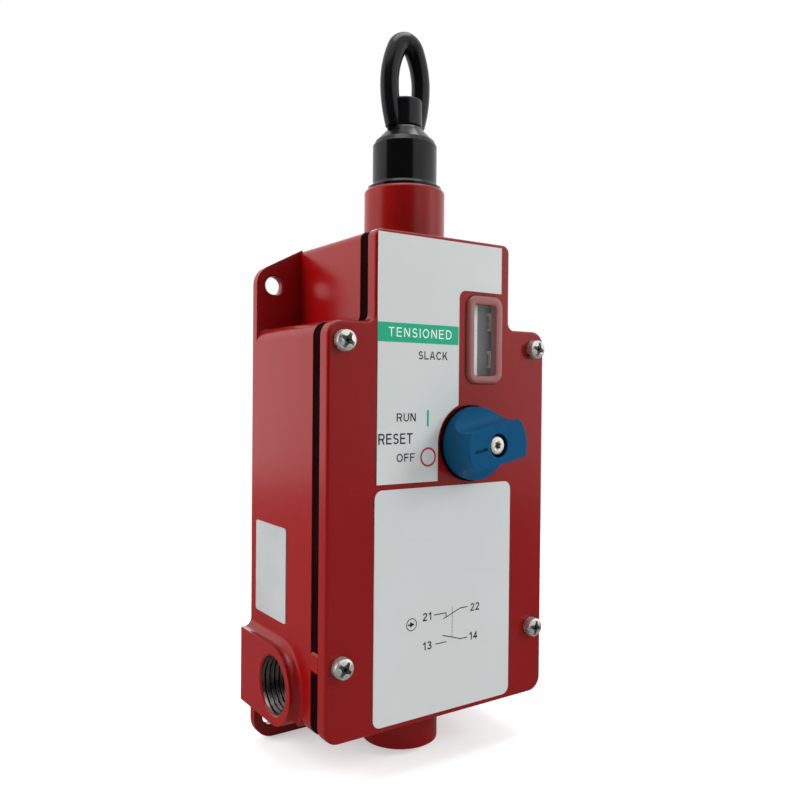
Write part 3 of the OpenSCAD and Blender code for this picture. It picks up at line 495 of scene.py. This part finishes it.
def split_ring(bm, cx, cz, r0, r1, y0, y1, split, gap, steps=60):
    """A spring washer facing -Y, cut through at the bearing split, in radians."""
    half = gap / (r0 + r1)
    loops = []
    for k in range(steps + 1):
        a = split + half + (2 * math.pi - 2 * half) * k / steps
        loops.append([vert(bm, cx + r * math.cos(a), y, cz + r * math.sin(a))
                      for r, y in ((r0, y0), (r1, y0), (r1, y1), (r0, y1))])
    skin(bm, loops)


def stroke(bm, points, width, y0, y1):
    """A bar of even width along each leg of the line, with square ends."""
    half = width / 2
    for (xa, za), (xb, zb) in zip(points, points[1:]):
        d = Vector((xb - xa, zb - za)).normalized() * half
        n = Vector((-d.y, d.x))
        plate(bm, [(xa - d.x + n.x, za - d.y + n.y), (xa - d.x - n.x, za - d.y - n.y),
                   (xb + d.x - n.x, zb + d.y - n.y), (xb + d.x + n.x, zb + d.y + n.y)], y0, y1)


def ribbon(bm, points, width, y0, y1, closed=False):
    """One bar of even width along the whole line, with mitred joints."""
    clean = [points[0]]
    for p in points[1:]:
        if (Vector(p) - Vector(clean[-1])).length > width * 0.05:
            clean.append(p)
    n = len(clean)
    loops = []
    for i, p in enumerate(clean):
        before = clean[i - 1] if closed or i else None
        after = clean[(i + 1) % n] if closed or i < n - 1 else None
        d0 = (Vector(p) - Vector(before)).normalized() if before else None
        d1 = (Vector(after) - Vector(p)).normalized() if after else None
        d0, d1 = d0 or d1, d1 or d0
        side = Vector((-(d0.y + d1.y), d0.x + d1.x)).normalized()
        reach = width / 2 / max(0.5, side.dot(Vector((-d1.y, d1.x))))
        a, b = Vector(p) + side * reach, Vector(p) - side * reach
        loops.append([vert(bm, e.x, y, e.y) for e, y in ((a, y0), (b, y0), (b, y1), (a, y1))])
    if closed:
        bridge(bm, loops, True)
    else:
        skin(bm, loops)


# ------------------------------------------------------------------ the eye

def oval(half_w, half_h, end_r, count):
    """A quarter of the eye's centre line, from its side to its end: (x, z, share of the way)."""
    ez = half_h - end_r
    r = (ez * ez + half_w * half_w - end_r * end_r) / (2 * (half_w - end_r))
    turn = math.atan2(ez, r - half_w)
    side, end = r * turn, end_r * (math.pi / 2 - turn)
    out = []
    for i in range(count + 1):
        d = (side + end) * i / count
        if d <= side:
            a = d / r
            out.append((half_w - r + r * math.cos(a), r * math.sin(a), i / count))
        else:
            a = turn + (d - side) / end_r
            out.append((end_r * math.cos(a), ez + end_r * math.sin(a), i / count))
    return out


def make_eye():
    """A round bar bent to an oval loop and cut off flat at its foot, on a turned stem."""
    half_w, end_r = 7.3, 4.5        # half width of the loop's centre line, radius of its ends
    bar, swell = 3.65, 0.5          # the bar's radius, and how much it grows towards the top
    above, below = 16.5, 20.0       # from the loop's widest level to the foot's cut and end
    spare = 0.75                    # room under the top of the solid
    stem_r, stem_edge = 6.7, 0.9
    low, high = in_mm(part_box("rope_eye"))
    shaft_low, shaft_high = in_mm(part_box("pull_shaft"))
    cx, cy = (low.x + high.x) / 2, (low.y + high.y) / 2
    level = low.z + above
    top = oval(half_w, high.z - spare - bar - swell - level, end_r, 36)
    foot = oval(half_w, below, end_r, 36)
    path = [(x, z, bar + swell * t ** 3) for x, z, t in top]
    path += [(-x, z, b) for x, z, b in path[-2::-1]]
    under = [(x, -z, bar) for x, z, t in foot]
    path += [(-x, z, b) for x, z, b in under[1:]] + under[-2:0:-1]
    bm = bmesh.new()
    loops = []
    for i, (x, z, b) in enumerate(path):
        (xa, za, _), (xb, zb, _) = path[i - 1], path[(i + 1) % len(path)]
        t = Vector((xb - xa, zb - za)).normalized()
        loops.append([vert(bm, cx + x + t.y * u, cy + v, level + z - t.x * u)
                      for u, v in circle(b, 32)])
    bridge(bm, loops, True)
    cut = bmesh.ops.bisect_plane(
        bm, geom=bm.verts[:] + bm.edges[:] + bm.faces[:], dist=1e-7,
        plane_co=(0, 0, low.z * MM), plane_no=(0, 0, 1), clear_inner=True)
    rim = [e for e in cut["geom_cut"] if isinstance(e, bmesh.types.BMEdge)]
    bmesh.ops.holes_fill(bm, edges=rim)
    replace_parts(piece("eye_loop", bm, EYE, "pull_body", 60), "rope_eye")
    bore = (shaft_high.x - shaft_low.x) / 2 + 0.03
    t = shaft_high.z + 0.5
    profile = [(bore, low.z), (stem_r - 0.5, low.z), (stem_r, low.z + 0.5)]
    profile += bend(stem_r - stem_edge, t - stem_edge, stem_edge, stem_edge, 0, 90, 6)
    profile += [(0.4, t), (0.4, t - 0.3), (bore, t - 0.3)]
    bm = bmesh.new()
    lathe(bm, cx, cy, profile)
    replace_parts(piece("eye_stem", bm, EYE, "pull_body", 40), "rope_eye")


make_eye()


# ---------------------------------------------------------- window, indicator

def make_window():
    """The border and the pane, and behind them the lining of the slot with its four catches."""
    low, high = in_mm(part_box("window_lens"))
    front, back = low.y, high.y
    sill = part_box("cover")[0].y / MM + 1.45
    corner, opening_corner, steps = 4, 1.2, 8
    # the border's opening
    x0, x1, z0, z1 = low.x + 2.75, high.x - 3.7, low.z + 2.9, high.z - 3.3
    outer = rounded(low.x, low.z, high.x, high.z, corner, steps)
    inner = rounded(x0, z0, x1, z1, opening_corner, steps)
    crown = ((0, 1.1), (0.06, 0.55), (0.16, 0.2), (0.3, 0.03), (0.45, 0), (0.86, 0),
             (0.95, 0.1), (1, 0.4))
    bm = bmesh.new()
    frame_ring(bm, outer, inner,
               [(0, sill)] + [(share, front + y) for share, y in crown] + [(1, sill)])
    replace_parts(piece("window_bezel", bm, BEZEL, smooth=50), "window_lens")
    gap = 0.02
    bm = bmesh.new()
    plate(bm, rounded(x0 + gap, z0 + gap, x1 - gap, z1 - gap, opening_corner, steps),
          front + 0.5, front + 1.3)
    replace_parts(piece("window_pane", bm, CLEAR, smooth=30), "window_lens")
    # the cover's slot, less a little clearance
    x0, x1, z0, z1 = low.x + 3.05, high.x - 3.05, low.z + 2.65, high.z - 2.65
    wall, corner = 0.4, 1.4
    outer = rounded(x0, z0, x1, z1, corner, steps)
    inner = rounded(x0 + wall, z0 + wall, x1 - wall, z1 - wall, corner - wall, steps)
    bm = bmesh.new()
    frame_ring(bm, outer, inner, ((0, back), (0, sill + gap), (1, sill + gap), (1, back)))
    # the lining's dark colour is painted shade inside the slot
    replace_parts(piece("window_lining", bm, LINING, smooth=50), "window_lens")
    middle = (low.z + high.z) / 2
    bm = bmesh.new()
    for za, zb in ((middle + 3.6, middle + 10.4), (middle - 10.2, middle - 3.9)):
        for xa, xb in ((x1 - 2.0, x1 - wall), (x0 + wall, x0 + 1.0)):
            for bar in (rectangle(xa, za, xb, za + 1), rectangle(xa, zb - 1, xb, zb),
                        rectangle(xb - 0.5, za + 0.9, xb, zb - 0.9)):
                plate(bm, bar, sill + 0.1, sill + 1.4, 0.08)
    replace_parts(piece("window_catches", bm, CATCH, smooth=0), "window_lens")


def make_indicator():
    """The face of the strip behind the window, with a white stripe along its left edge as a
    painted highlight.
    """
    low, high = in_mm(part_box("tension_indicator"))
    width, height = 7.8, 35
    x1, y, z1 = high.x - 0.6, low.y, high.z
    x0, z0 = x1 - width, z1 - height
    bm = bmesh.new()
    plate(bm, rounded(x0, z0, x1, z1, 0.4, 3), y - 0.25, y + 0.3, 0.1)
    piece("indicator_face", bm, GREY, "pull_body", 0)
    bm = bmesh.new()
    # white stripe on the left edge: painted highlight of the strip's lit side
    plate(bm, rounded(x0 + 0.05, z0 + 0.3, x0 + 1.6, z1 - 0.3, 0.3, 3), y - 0.3, y - 0.2, 0.02)
    piece("indicator_stripe", bm, INK_WHITE, "pull_body", 0)


make_window()
make_indicator()


# -------------------------------------------------------------------- screws

HEAD_STEPS = 96


def make_knob_screw():
    """Head and shank as one skin that ends in the six-lobed recess, and the recess's floor."""
    low, high = in_mm(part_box("knob_screw"))
    cx, cz, front = (low.x + high.x) / 2, (low.z + high.z) / 2, low.y
    shank_r, head_r, bevel, lobe, turn = 1.85, 3.25, 0.9, 0.42, 0.3

    def star(r, depth):
        """Six lobes out to r, with hollows of that depth between them."""
        out = []
        for k in range(HEAD_STEPS):
            a = 2 * math.pi * k / HEAD_STEPS
            w = r - depth * (0.5 - 0.5 * math.cos(6 * a))
            out.append((w * math.cos(a + turn), w * math.sin(a + turn)))
        return out

    def closed(rows):
        """A solid through rows of (offsets from the axis, y)."""
        bm = bmesh.new()
        skin(bm, [[vert(bm, cx + u, y, cz + v) for u, v in offsets] for offsets, y in rows])
        return bm

    shank = [(shank_r, high.y), (shank_r, front + 2.6), (head_r, front + 2.6)]
    dome = bend(head_r - bevel, front + 0.75, bevel, -0.62, 0, 80, 4) + [(1.9, front + 0.1)]
    rows = [(circle(r, HEAD_STEPS), y) for r, y in shank + dome]
    rows += [(star(r, lobe), front + y) for r, y in ((1.6, 0.12), (1.5, 0.3), (1.45, 1.5))]
    head = piece("knob_screw_head", closed(rows), BRIGHT, "knob_body", 40)
    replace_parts(head, "knob_screw")
    rows = [(star(1.42, lobe), front + 1.49), (star(1.42, lobe), front + 1.38),
            (star(0.5, 0.1), front + 1.3)]
    recess = piece("knob_screw_recess", closed(rows), SOCKET, "knob_body", 30)
    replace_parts(recess, "knob_screw")


def make_cover_screws():
    """Domed heads with cross recesses, dark plates in the crosses as painted shade, and the
    spring washers under them.
    """
    node = NODES["cover_screws"]
    points = [node.matrix_world @ v.co / MM for v in node.data.vertices]
    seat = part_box("cover_lock_washers")[0].y / MM
    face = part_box("cover")[0].y / MM
    radius, shank_r, rounds = 3.5, 2.0, 30
    dome, depth = 0.75, 1.9             # the head's dome, and the depth of the cross
    arm_w, arm_l, flare = 0.58, 2.3, 0.75     # the cross's arms, wider towards the middle
    heads, rings, crosses = bmesh.new(), bmesh.new(), bmesh.new()
    # how far each cross is turned; the keys say right of the middle, above the middle
    turns = {(False, True): 0.5, (True, True): 0.25, (False, False): 0.6, (True, False): 0.2}
    for corner, turn in turns.items():
        group = [p for p in points if (p.x > 0, p.z > 0) == corner]
        cx = (min(p.x for p in group) + max(p.x for p in group)) / 2
        cz = (min(p.z for p in group) + max(p.z for p in group)) / 2
        front, back = min(p.y for p in group), max(p.y for p in group)

        def face_y(u, v):
            """The head's face: a low dome with a cross pressed into it."""
            r = math.hypot(u, v)
            across, along = sorted((abs(u * math.cos(turn) - v * math.sin(turn)),
                                    abs(v * math.cos(turn) + u * math.sin(turn))))
            half_w = arm_w + flare * max(0.0, 1 - along / 1.7)
            inside = min(1.0, max(0.0, (half_w - across) / 0.14))
            inside *= min(1.0, max(0.0, (arm_l - along) / 0.25))
            return front + dome * (r / radius) ** 2.4 + inside * depth * (1 - along / 3.2)

        side = ((shank_r, back), (shank_r, seat), (radius - 0.15, seat),
                (radius, seat - 0.15), (radius, front + 1.0))
        loops = [[vert(heads, cx + u, y, cz + v) for u, v in circle(r, HEAD_STEPS)]
                 for r, y in side]
        for i in range(1, rounds):
            r = radius * (1 - i / rounds) ** 0.9 if i > 1 else radius - 0.06
            loops.append([vert(heads, cx + u, face_y(u, v), cz + v)
                          for u, v in circle(r, HEAD_STEPS)])
        skin(heads, loops)
        # dark plates in the crosses: painted shade of the recesses
        for a in (-turn, math.pi / 2 - turn):
            ux, uz = 2.1 * math.cos(a), 2.1 * math.sin(a)
            stroke(crosses, [(cx - ux, cz - uz), (cx + ux, cz + uz)], 1.15,
                   front + 0.3, front + 0.45)
        split_ring(rings, cx, cz, shank_r + 0.15, radius + 0.1, seat + 0.02, face - 0.01,
                   split=3.8, gap=0.6)
    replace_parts(piece("cover_screw_heads", heads, ZINC, smooth=40), "cover_screws")
    cross = piece("cover_screw_recesses", crosses, CROSS_SHADE, smooth=0)
    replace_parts(cross, "cover_screws")
    washers = piece("cover_washers", rings, ZINC, smooth=40)
    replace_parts(washers, "cover_lock_washers")


make_knob_screw()
make_cover_screws()


# ------------------------------------------------------------------- springs

def coil(name, node):
    """A copy of a spring, with a mesh of its own."""
    source = NODES[node]
    mesh = source.data.copy()
    mesh.transform(source.matrix_world)
    o = piece(name, mesh, SPRING, smooth=50)
    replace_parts(o, node)
    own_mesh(o)


coil("tension_coil", "tension_spring")
coil("latch_coil", "latch_spring")


# ------------------------------------------------------------------ printing

PRINT = 0.03                                          # thickness of the ink
label_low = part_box("upper_label")[0] / MM
INK_FRONT, INK_BACK = label_low.y - PRINT, label_low.y + 0.2 * PRINT


def alphabet(s):
    """Plain capitals and digits of height 1 and line width s.

    Each is (width, open lines, filled shapes, closed lines).
    """
    a, b = s / 2, 1 - s / 2
    s_r, r_r = (0.5 - a) / 2, (b - 0.47) / 2
    return {
        "I": (s, [[(a, 0), (a, 1)]], [], []),
        "L": (0.6, [[(a, 1), (a, a), (0.6, a)]], [], []),
        "T": (0.7, [[(0, b), (0.7, b)], [(0.35, b), (0.35, 0)]], [], []),
        "E": (0.64, [[(0.63, b), (a, b), (a, a), (0.64, a)], [(a, 0.52), (0.6, 0.52)]], [], []),
        "F": (0.6, [[(0.6, b), (a, b), (a, 0)], [(a, 0.51), (0.54, 0.51)]], [], []),
        "N": (0.74, [[(a, 0), (a, 1)], [(0.74 - a, 0), (0.74 - a, 1)]],
              [[(0, 1), (1.2 * s, 1), (0.74, 0), (0.74 - 1.2 * s, 0)]], []),
        "K": (0.72, [[(a, 0), (a, 1)]],
              [[(0.68 - 1.3 * s, 1), (0.69, 1), (s, 0.3), (s, 0.3 + 1.3 * s)],
               [(0.28, 0.53), (0.28 + 0.75 * s, 0.53 + 0.95 * s), (0.72, 0),
                (0.72 - 1.2 * s, 0)]], []),
        "A": (0.76, [[(0.16, 0.33), (0.6, 0.33)]],
              [[(0, 0), (1.08 * s, 0), (0.38 + 0.1 * s, 1), (0.38 - 0.6 * s, 1)],
               [(0.76, 0), (0.38 + 0.6 * s, 1), (0.38 - 0.1 * s, 1), (0.76 - 1.08 * s, 0)]], []),
        "S": (0.66, [bend(0.33, 0.5 + s_r, 0.3 - a, s_r, 22, 262)
                     + bend(0.33, 0.5 - s_r, 0.33 - a, s_r, 82, -158)], [], []),
        "O": (0.82, [], [], [bend(0.41, 0.5, 0.41 - a, 0.5 - a, 0, 350, 35)]),
        "C": (0.76, [bend(0.4, 0.5, 0.4 - a, 0.5 - a, 38, 322, 32)], [], []),
        "D": (0.76, [], [], [[(a, a), (a, b)] + bend(0.34, 0.5, 0.42 - a, 0.5 - a, 90, -90, 24)]),
        "R": (0.74, [[(a, 0), (a, b)] + bend(0.44, 0.47 + r_r, 0.25 - a / 2, r_r, 90, -90)
                     + [(a, 0.47)]],
              [[(0.36, 0.47), (0.36 + 1.15 * s, 0.47), (0.74, 0), (0.74 - 1.15 * s, 0)]], []),
        "U": (0.74, [[(a, 1)] + bend(0.37, 0.33, 0.37 - a, 0.33 - a, 180, 360)
                     + [(0.74 - a, 1)]], [], []),
        "1": (0.36, [[(0.36 - a, 0), (0.36 - a, 1)], [(0, 0.76), (0.16, 0.8), (0.36 - a, 0.95)]],
              [], []),
        "2": (0.6, [bend(0.3, 0.7, 0.3 - a, 0.3 - a, 170, -38, 16)
                    + [(a + 0.03, a + 0.07), (a + 0.01, a), (0.6, a)]], [], []),
        "3": (0.6, [bend(0.29, 0.735, 0.26 - a, 0.265 - a, 165, -80, 16)
                    + bend(0.29, 0.285, 0.3 - a, 0.285 - a, 80, -165, 16)], [], []),
        "4": (0.62, [[(0.45, 0), (0.45, 1)], [(0, 0.27), (0.62, 0.27)]],
              [[(0.45, 1), (0.45, 1 - 1.4 * s), (1.25 * s, 0.27), (0, 0.27)]], []),
    }


def words(name, text, left, right, middle, height, material, weight, track):
    """One printed word between left and right.

    weight is its line width and track the space between its letters, as shares of its height.
    """
    letters = [alphabet(weight)[c] for c in text]
    k = (right - left) / height - track * (len(text) - 1)
    k /= sum(letter[0] for letter in letters)
    x, foot = left, middle - height / 2

    def put(points):
        return [(x + px * k * height, foot + pz * height) for px, pz in points]

    bm = bmesh.new()
    for wide, lines, shapes, closed in letters:
        for line in lines:
            ribbon(bm, put(line), weight * height, INK_FRONT, INK_BACK)
        for line in closed:
            ribbon(bm, put(line), weight * height, INK_FRONT, INK_BACK, True)
        for shape in shapes:
            plate(bm, put(shape), INK_FRONT, INK_BACK)
        x += (wide * k + track) * height
    piece(name, bm, material, smooth=0)


# green band with the white word, and the function words
bm = bmesh.new()
plate(bm, rectangle(label_low.x + 0.02, 60.3, 5.4, 67.0), label_low.y - 0.4 * PRINT, INK_BACK)
piece("label_band", bm, INK_GREEN, smooth=0)
words("label_tensioned", "TENSIONED", -25.0, 2.2, 63.8, 3.2, INK_WHITE,
      0.12, 0.3)
words("label_slack", "SLACK", -12.4, 0.45, 56.1, 2.9, INK_BLACK, 0.155, 0.17)
words("label_run", "RUN", -21.4, -13.3, 34.35, 2.9, INK_BLACK, 0.155, 0.19)
words("label_reset", "RESET", -28.8, -14.6, 27.0, 3.7, INK_BLACK,
      0.145, 0.16)
words("label_off", "OFF", -21.3, -13.7, 20.35, 2.9, INK_BLACK, 0.155, 0.19)
bm = bmesh.new()
ring(bm, -7.8, 20.2, 2.75, 3.45, INK_FRONT, INK_BACK)
piece("label_off_circle", bm, INK_RED, smooth=0)
bm = bmesh.new()
stroke(bm, [(-8.05, 31.4), (-8.05, 36.4)], 0.85, INK_FRONT, INK_BACK)
piece("label_run_bar", bm, INK_GREEN, smooth=0)

# contact diagram: the numbers, the two contacts, the dashed link across them and the arrow in
# a ring
words("label_21", "21", -9.5, -5.7, -36.6, 2.9, INK_BLACK, 0.16, 0.2)
words("label_22", "22", 12.2, 16.5, -36.2, 2.9, INK_BLACK, 0.16, 0.2)
words("label_13", "13", -9.3, -5.4, -47.0, 2.9, INK_BLACK, 0.16, 0.2)
words("label_14", "14", 11.9, 15.6, -46.8, 2.9, INK_BLACK, 0.16, 0.2)
bm = bmesh.new()
for line in ([(-4.4, -36.5), (0.9, -36.5), (0.9, -38.0)],
             [(-0.2, -38.5), (3.75, -37.05), (7.6, -35.7), (10.6, -35.7)],
             [(-3.6, -47.05), (1.1, -47.05)],
             [(-0.4, -44.5), (3.85, -45.8), (7.6, -47.0), (10.7, -47.0)]):
    stroke(bm, line, 0.34, INK_FRONT, INK_BACK)
for i in range(8):
    z = -34.9 - i * 1.4
    stroke(bm, [(3.75, z), (3.75, max(z - 0.85, -45.4))], 0.22, INK_FRONT, INK_BACK)
ring(bm, -14.3, -38.4, 1.95, 2.25, INK_FRONT, INK_BACK)
stroke(bm, [(-15.6, -38.4), (-14.6, -38.4)], 0.5, INK_FRONT, INK_BACK)
plate(bm, [(-14.9, -39.4), (-13.0, -38.4), (-14.9, -37.4)], INK_FRONT, INK_BACK)
piece("label_contact_diagram", bm, INK_BLACK, smooth=0)


# ------------------------------------------------------------ conduit thread

def make_thread():
    """A thin sleeve in the conduit entry, with the thread on its inside."""
    mount = next(m for m in frame["record"]["mounts"] if m["name"] == "side_conduit_entry")
    x0, cy, cz = (v / MM for v in mount["pos_m"])
    radius, length = mount["dims"]["r_mm"], mount["dims"]["length_mm"]
    x0 -= 0.5                          # the sleeve starts a little outside the first turn
    pitch, depth = 1.81, 0.85
    around, per_turn = 96, 8           # points around, and rows to one turn of the thread
    rows = int(length / pitch * per_turn)
    bm = bmesh.new()
    loops = []
    for i in range(rows + 1):
        x = i * length / rows
        fade = min(1.0, x / 1.6) * min(1.0, (length - x) / 1.2)
        loop = []
        for k, (u, v) in enumerate(circle(1, around)):
            phase = (x / pitch - k / around) % 1.0
            ridge = max(0.0, 1 - abs(phase - 0.5) * 2.3)
            r = radius - 0.12 - depth * ridge * fade
            loop.append(vert(bm, x0 + x, cy + r * u, cz + r * v))
        loops.append(loop)
    for x in (x0 + length, x0):
        loops.append([vert(bm, x, cy + u, cz + v) for u, v in circle(radius - 0.01, around)])
    bridge(bm, loops, True)
    piece("conduit_thread", bm, THREAD, smooth=50)


make_thread()


# ------------------------------------------------------- camera, stage, light

def look(azimuth, pitch, roll, place, lens):
    """The camera, from its turn about the vertical, its tilt and its roll, in radians."""
    c, s = math.cos(azimuth), math.sin(azimuth)
    right, ahead, up = Vector((c, -s, 0)), Vector((s, c, 0)), Vector((0, 0, 1))
    c, s = math.cos(pitch), math.sin(pitch)
    ahead, up = c * ahead + s * up, -s * ahead + c * up
    c, s = math.cos(roll), math.sin(roll)
    right, up = c * right + s * up, -s * right + c * up
    camera = bpy.data.cameras.new("Camera")
    camera.lens = lens
    camera.sensor_width = 36.0
    camera.clip_start = 0.01
    o = add_object("Camera", camera)
    m = Matrix((right, up, -ahead)).transposed().to_4x4()
    m.translation = Vector(place)
    o.matrix_world = m
    SCENE.camera = o


look(azimuth=0.59784263, pitch=-0.01223319, roll=0.00903846,
     place=(-0.172568, -0.283759, 0.043696), lens=35.329)

lowest, highest = size_before
middle = (lowest + highest) / 2
floor_z = lowest.z - 0.5 * MM


def matt(name, base, other, share, scale, grain, low, high):
    """A plain studio surface; share is the most of the other colour in its blots."""
    s = Surface(name)
    s.color(base, (s.ramp(s.noise(scale, 2), 0.4, 0.7, 0, share), other))
    s.rough(s.noise(grain, 2), low, high)
    return s


def staged(name, bm, surface, mirrored_only=True):
    """A thing of the studio, which isn't part of the switch."""
    o = add_object(name, to_mesh(name, bm))
    o.data.materials.append(surface.material)
    if mirrored_only:
        o.visible_camera = o.visible_diffuse = o.visible_shadow = o.visible_transmission = False


def sheet(bm, rows):
    """Quads between rows of points, in metres."""
    rows = [[bm.verts.new(p) for p in row] for row in rows]
    for p, q in zip(rows, rows[1:]):
        for k in range(len(p) - 1):
            bm.faces.new((p[k], p[k + 1], q[k + 1], q[k]))


def make_floor():
    """White where the camera sees it, fading out before its edge."""
    half, count = 1.6, 24
    across = [-half + 2 * half * i / count for i in range(count + 1)]
    bm = bmesh.new()
    sheet(bm, [[(x, y, floor_z) for x in across] for y in across])
    s = matt("Floor", srgb(244, 244, 244), srgb(240, 240, 240), 0.5, 6, 20, 0.8, 0.9)
    s.glow(s.times(s.node("LightPath").outputs["Is Camera Ray"], 0.45))
    far = s.node("VectorMath")
    far.operation = "LENGTH"
    s.link(s.coords, far.inputs[0])
    s.link(s.ramp(far.outputs["Value"], 0.55, 0.3), s.shader.inputs["Alpha"])
    staged("floor", bm, s, False)


def card(name, first, last, z0, z1, low, high, lean=None):
    """A curved studio card, seen in reflections alone, between two bearings from -Y.

    The bearings are in degrees, + towards +X. low and high: how bright it is at its foot and at
    its top; lean: how many times brighter it gets at its right end.
    """
    radius, columns, steps = 1.5, 24, 6
    turns = [math.radians(first + (last - first) * i / columns) for i in range(columns + 1)]
    bm = bmesh.new()
    sheet(bm, [[(radius * math.sin(a), -radius * math.cos(a), z0 + (z1 - z0) * k / steps)
                for a in turns] for k in range(steps + 1)])
    s = matt(name, srgb(30, 30, 32), srgb(24, 24, 26), 0.4, 4, 8, 0.85, 0.95)
    axes = s.node("SeparateXYZ")
    s.link(s.coords, axes.inputs[0])
    light = s.ramp(axes.outputs["Z"], z0, z1, low, high)
    if lean:
        light = s.times(light, s.ramp(axes.outputs["X"], 0.7, 1.15, 0.5, lean))
    s.glow(light)
    staged(name, bm, s)


def make_cloth():
    """A dark round sheet on the floor, seen in reflections alone."""
    bm = bmesh.new()
    loops = [[vert(bm, u, v, floor_z / MM + 0.2) for u, v in circle(r, 48)]
             for r in (900, 600, 300, 150)]
    bridge(bm, loops)
    bm.faces.new(loops[-1])
    s = matt("Floor cloth", srgb(60, 60, 62), srgb(50, 50, 52), 0.4, 8, 12, 0.85, 0.95)
    s.glow(0.12)
    staged("floor_cloth", bm, s)


def area(name, place, width, height, power, reflected=True):
    """A rectangular lamp that faces the switch."""
    light = bpy.data.lights.new(name, "AREA")
    light.shape = "RECTANGLE"
    light.size, light.size_y = width, height
    light.energy = power
    o = add_object(name, light)
    o.location = place
    o.rotation_euler = (middle - Vector(place)).to_track_quat("-Z", "Y").to_euler()
    o.visible_glossy = reflected


def make_world():
    """Dim as a light, and white to the camera and in gloss and glass."""
    world = bpy.data.worlds.new("World")
    SCENE.world = world
    world.use_nodes = True
    tree = world.node_tree
    tree.nodes.clear()

    def node(kind, *links):
        n = tree.nodes.new("ShaderNode" + kind)
        for source, socket in zip(links, n.inputs):
            tree.links.new(source, socket)
        return n

    dim, white = node("Background"), node("Background")
    dim.inputs["Color"].default_value = (0.95, 0.97, 1.0, 1)
    dim.inputs["Strength"].default_value = 0.3
    white.inputs["Color"].default_value = WHITE
    white.inputs["Strength"].default_value = 1.0
    rays = node("LightPath").outputs
    pair = node("Math", rays["Is Camera Ray"], rays["Is Glossy Ray"])
    pair.operation = "ADD"
    seen = node("Math", pair.outputs[0], rays["Is Transmission Ray"])
    seen.operation = "ADD"
    seen.use_clamp = True
    pick = node("MixShader", seen.outputs[0], dim.outputs[0], white.outputs[0])
    node("OutputWorld", pick.outputs[0])


make_floor()
card("card_dark", -100, -4, -0.7, 1.3, 0.0, 0.02)
card("card_grey", -4, 62, -0.6, 0.5, 0.6, 1.1, 1.5)
make_cloth()
area("left_box", (-0.75, 0.3, 0.25), 0.5, 0.9, 8.6, False)
area("front_box", (0.15, -0.9, 0.35), 0.6, 0.6, 1.5, False)
area("right_box", (0.7, -0.65, 0.4), 0.3, 0.5, 5.0, False)
area("back_box", (0.45, 0.8, 0.35), 0.6, 0.6, 1.6)
area("top_box", (0.0, -0.1, 0.85), 0.8, 0.5, 3.5)
make_world()
SCENE.view_settings.view_transform = "Standard"
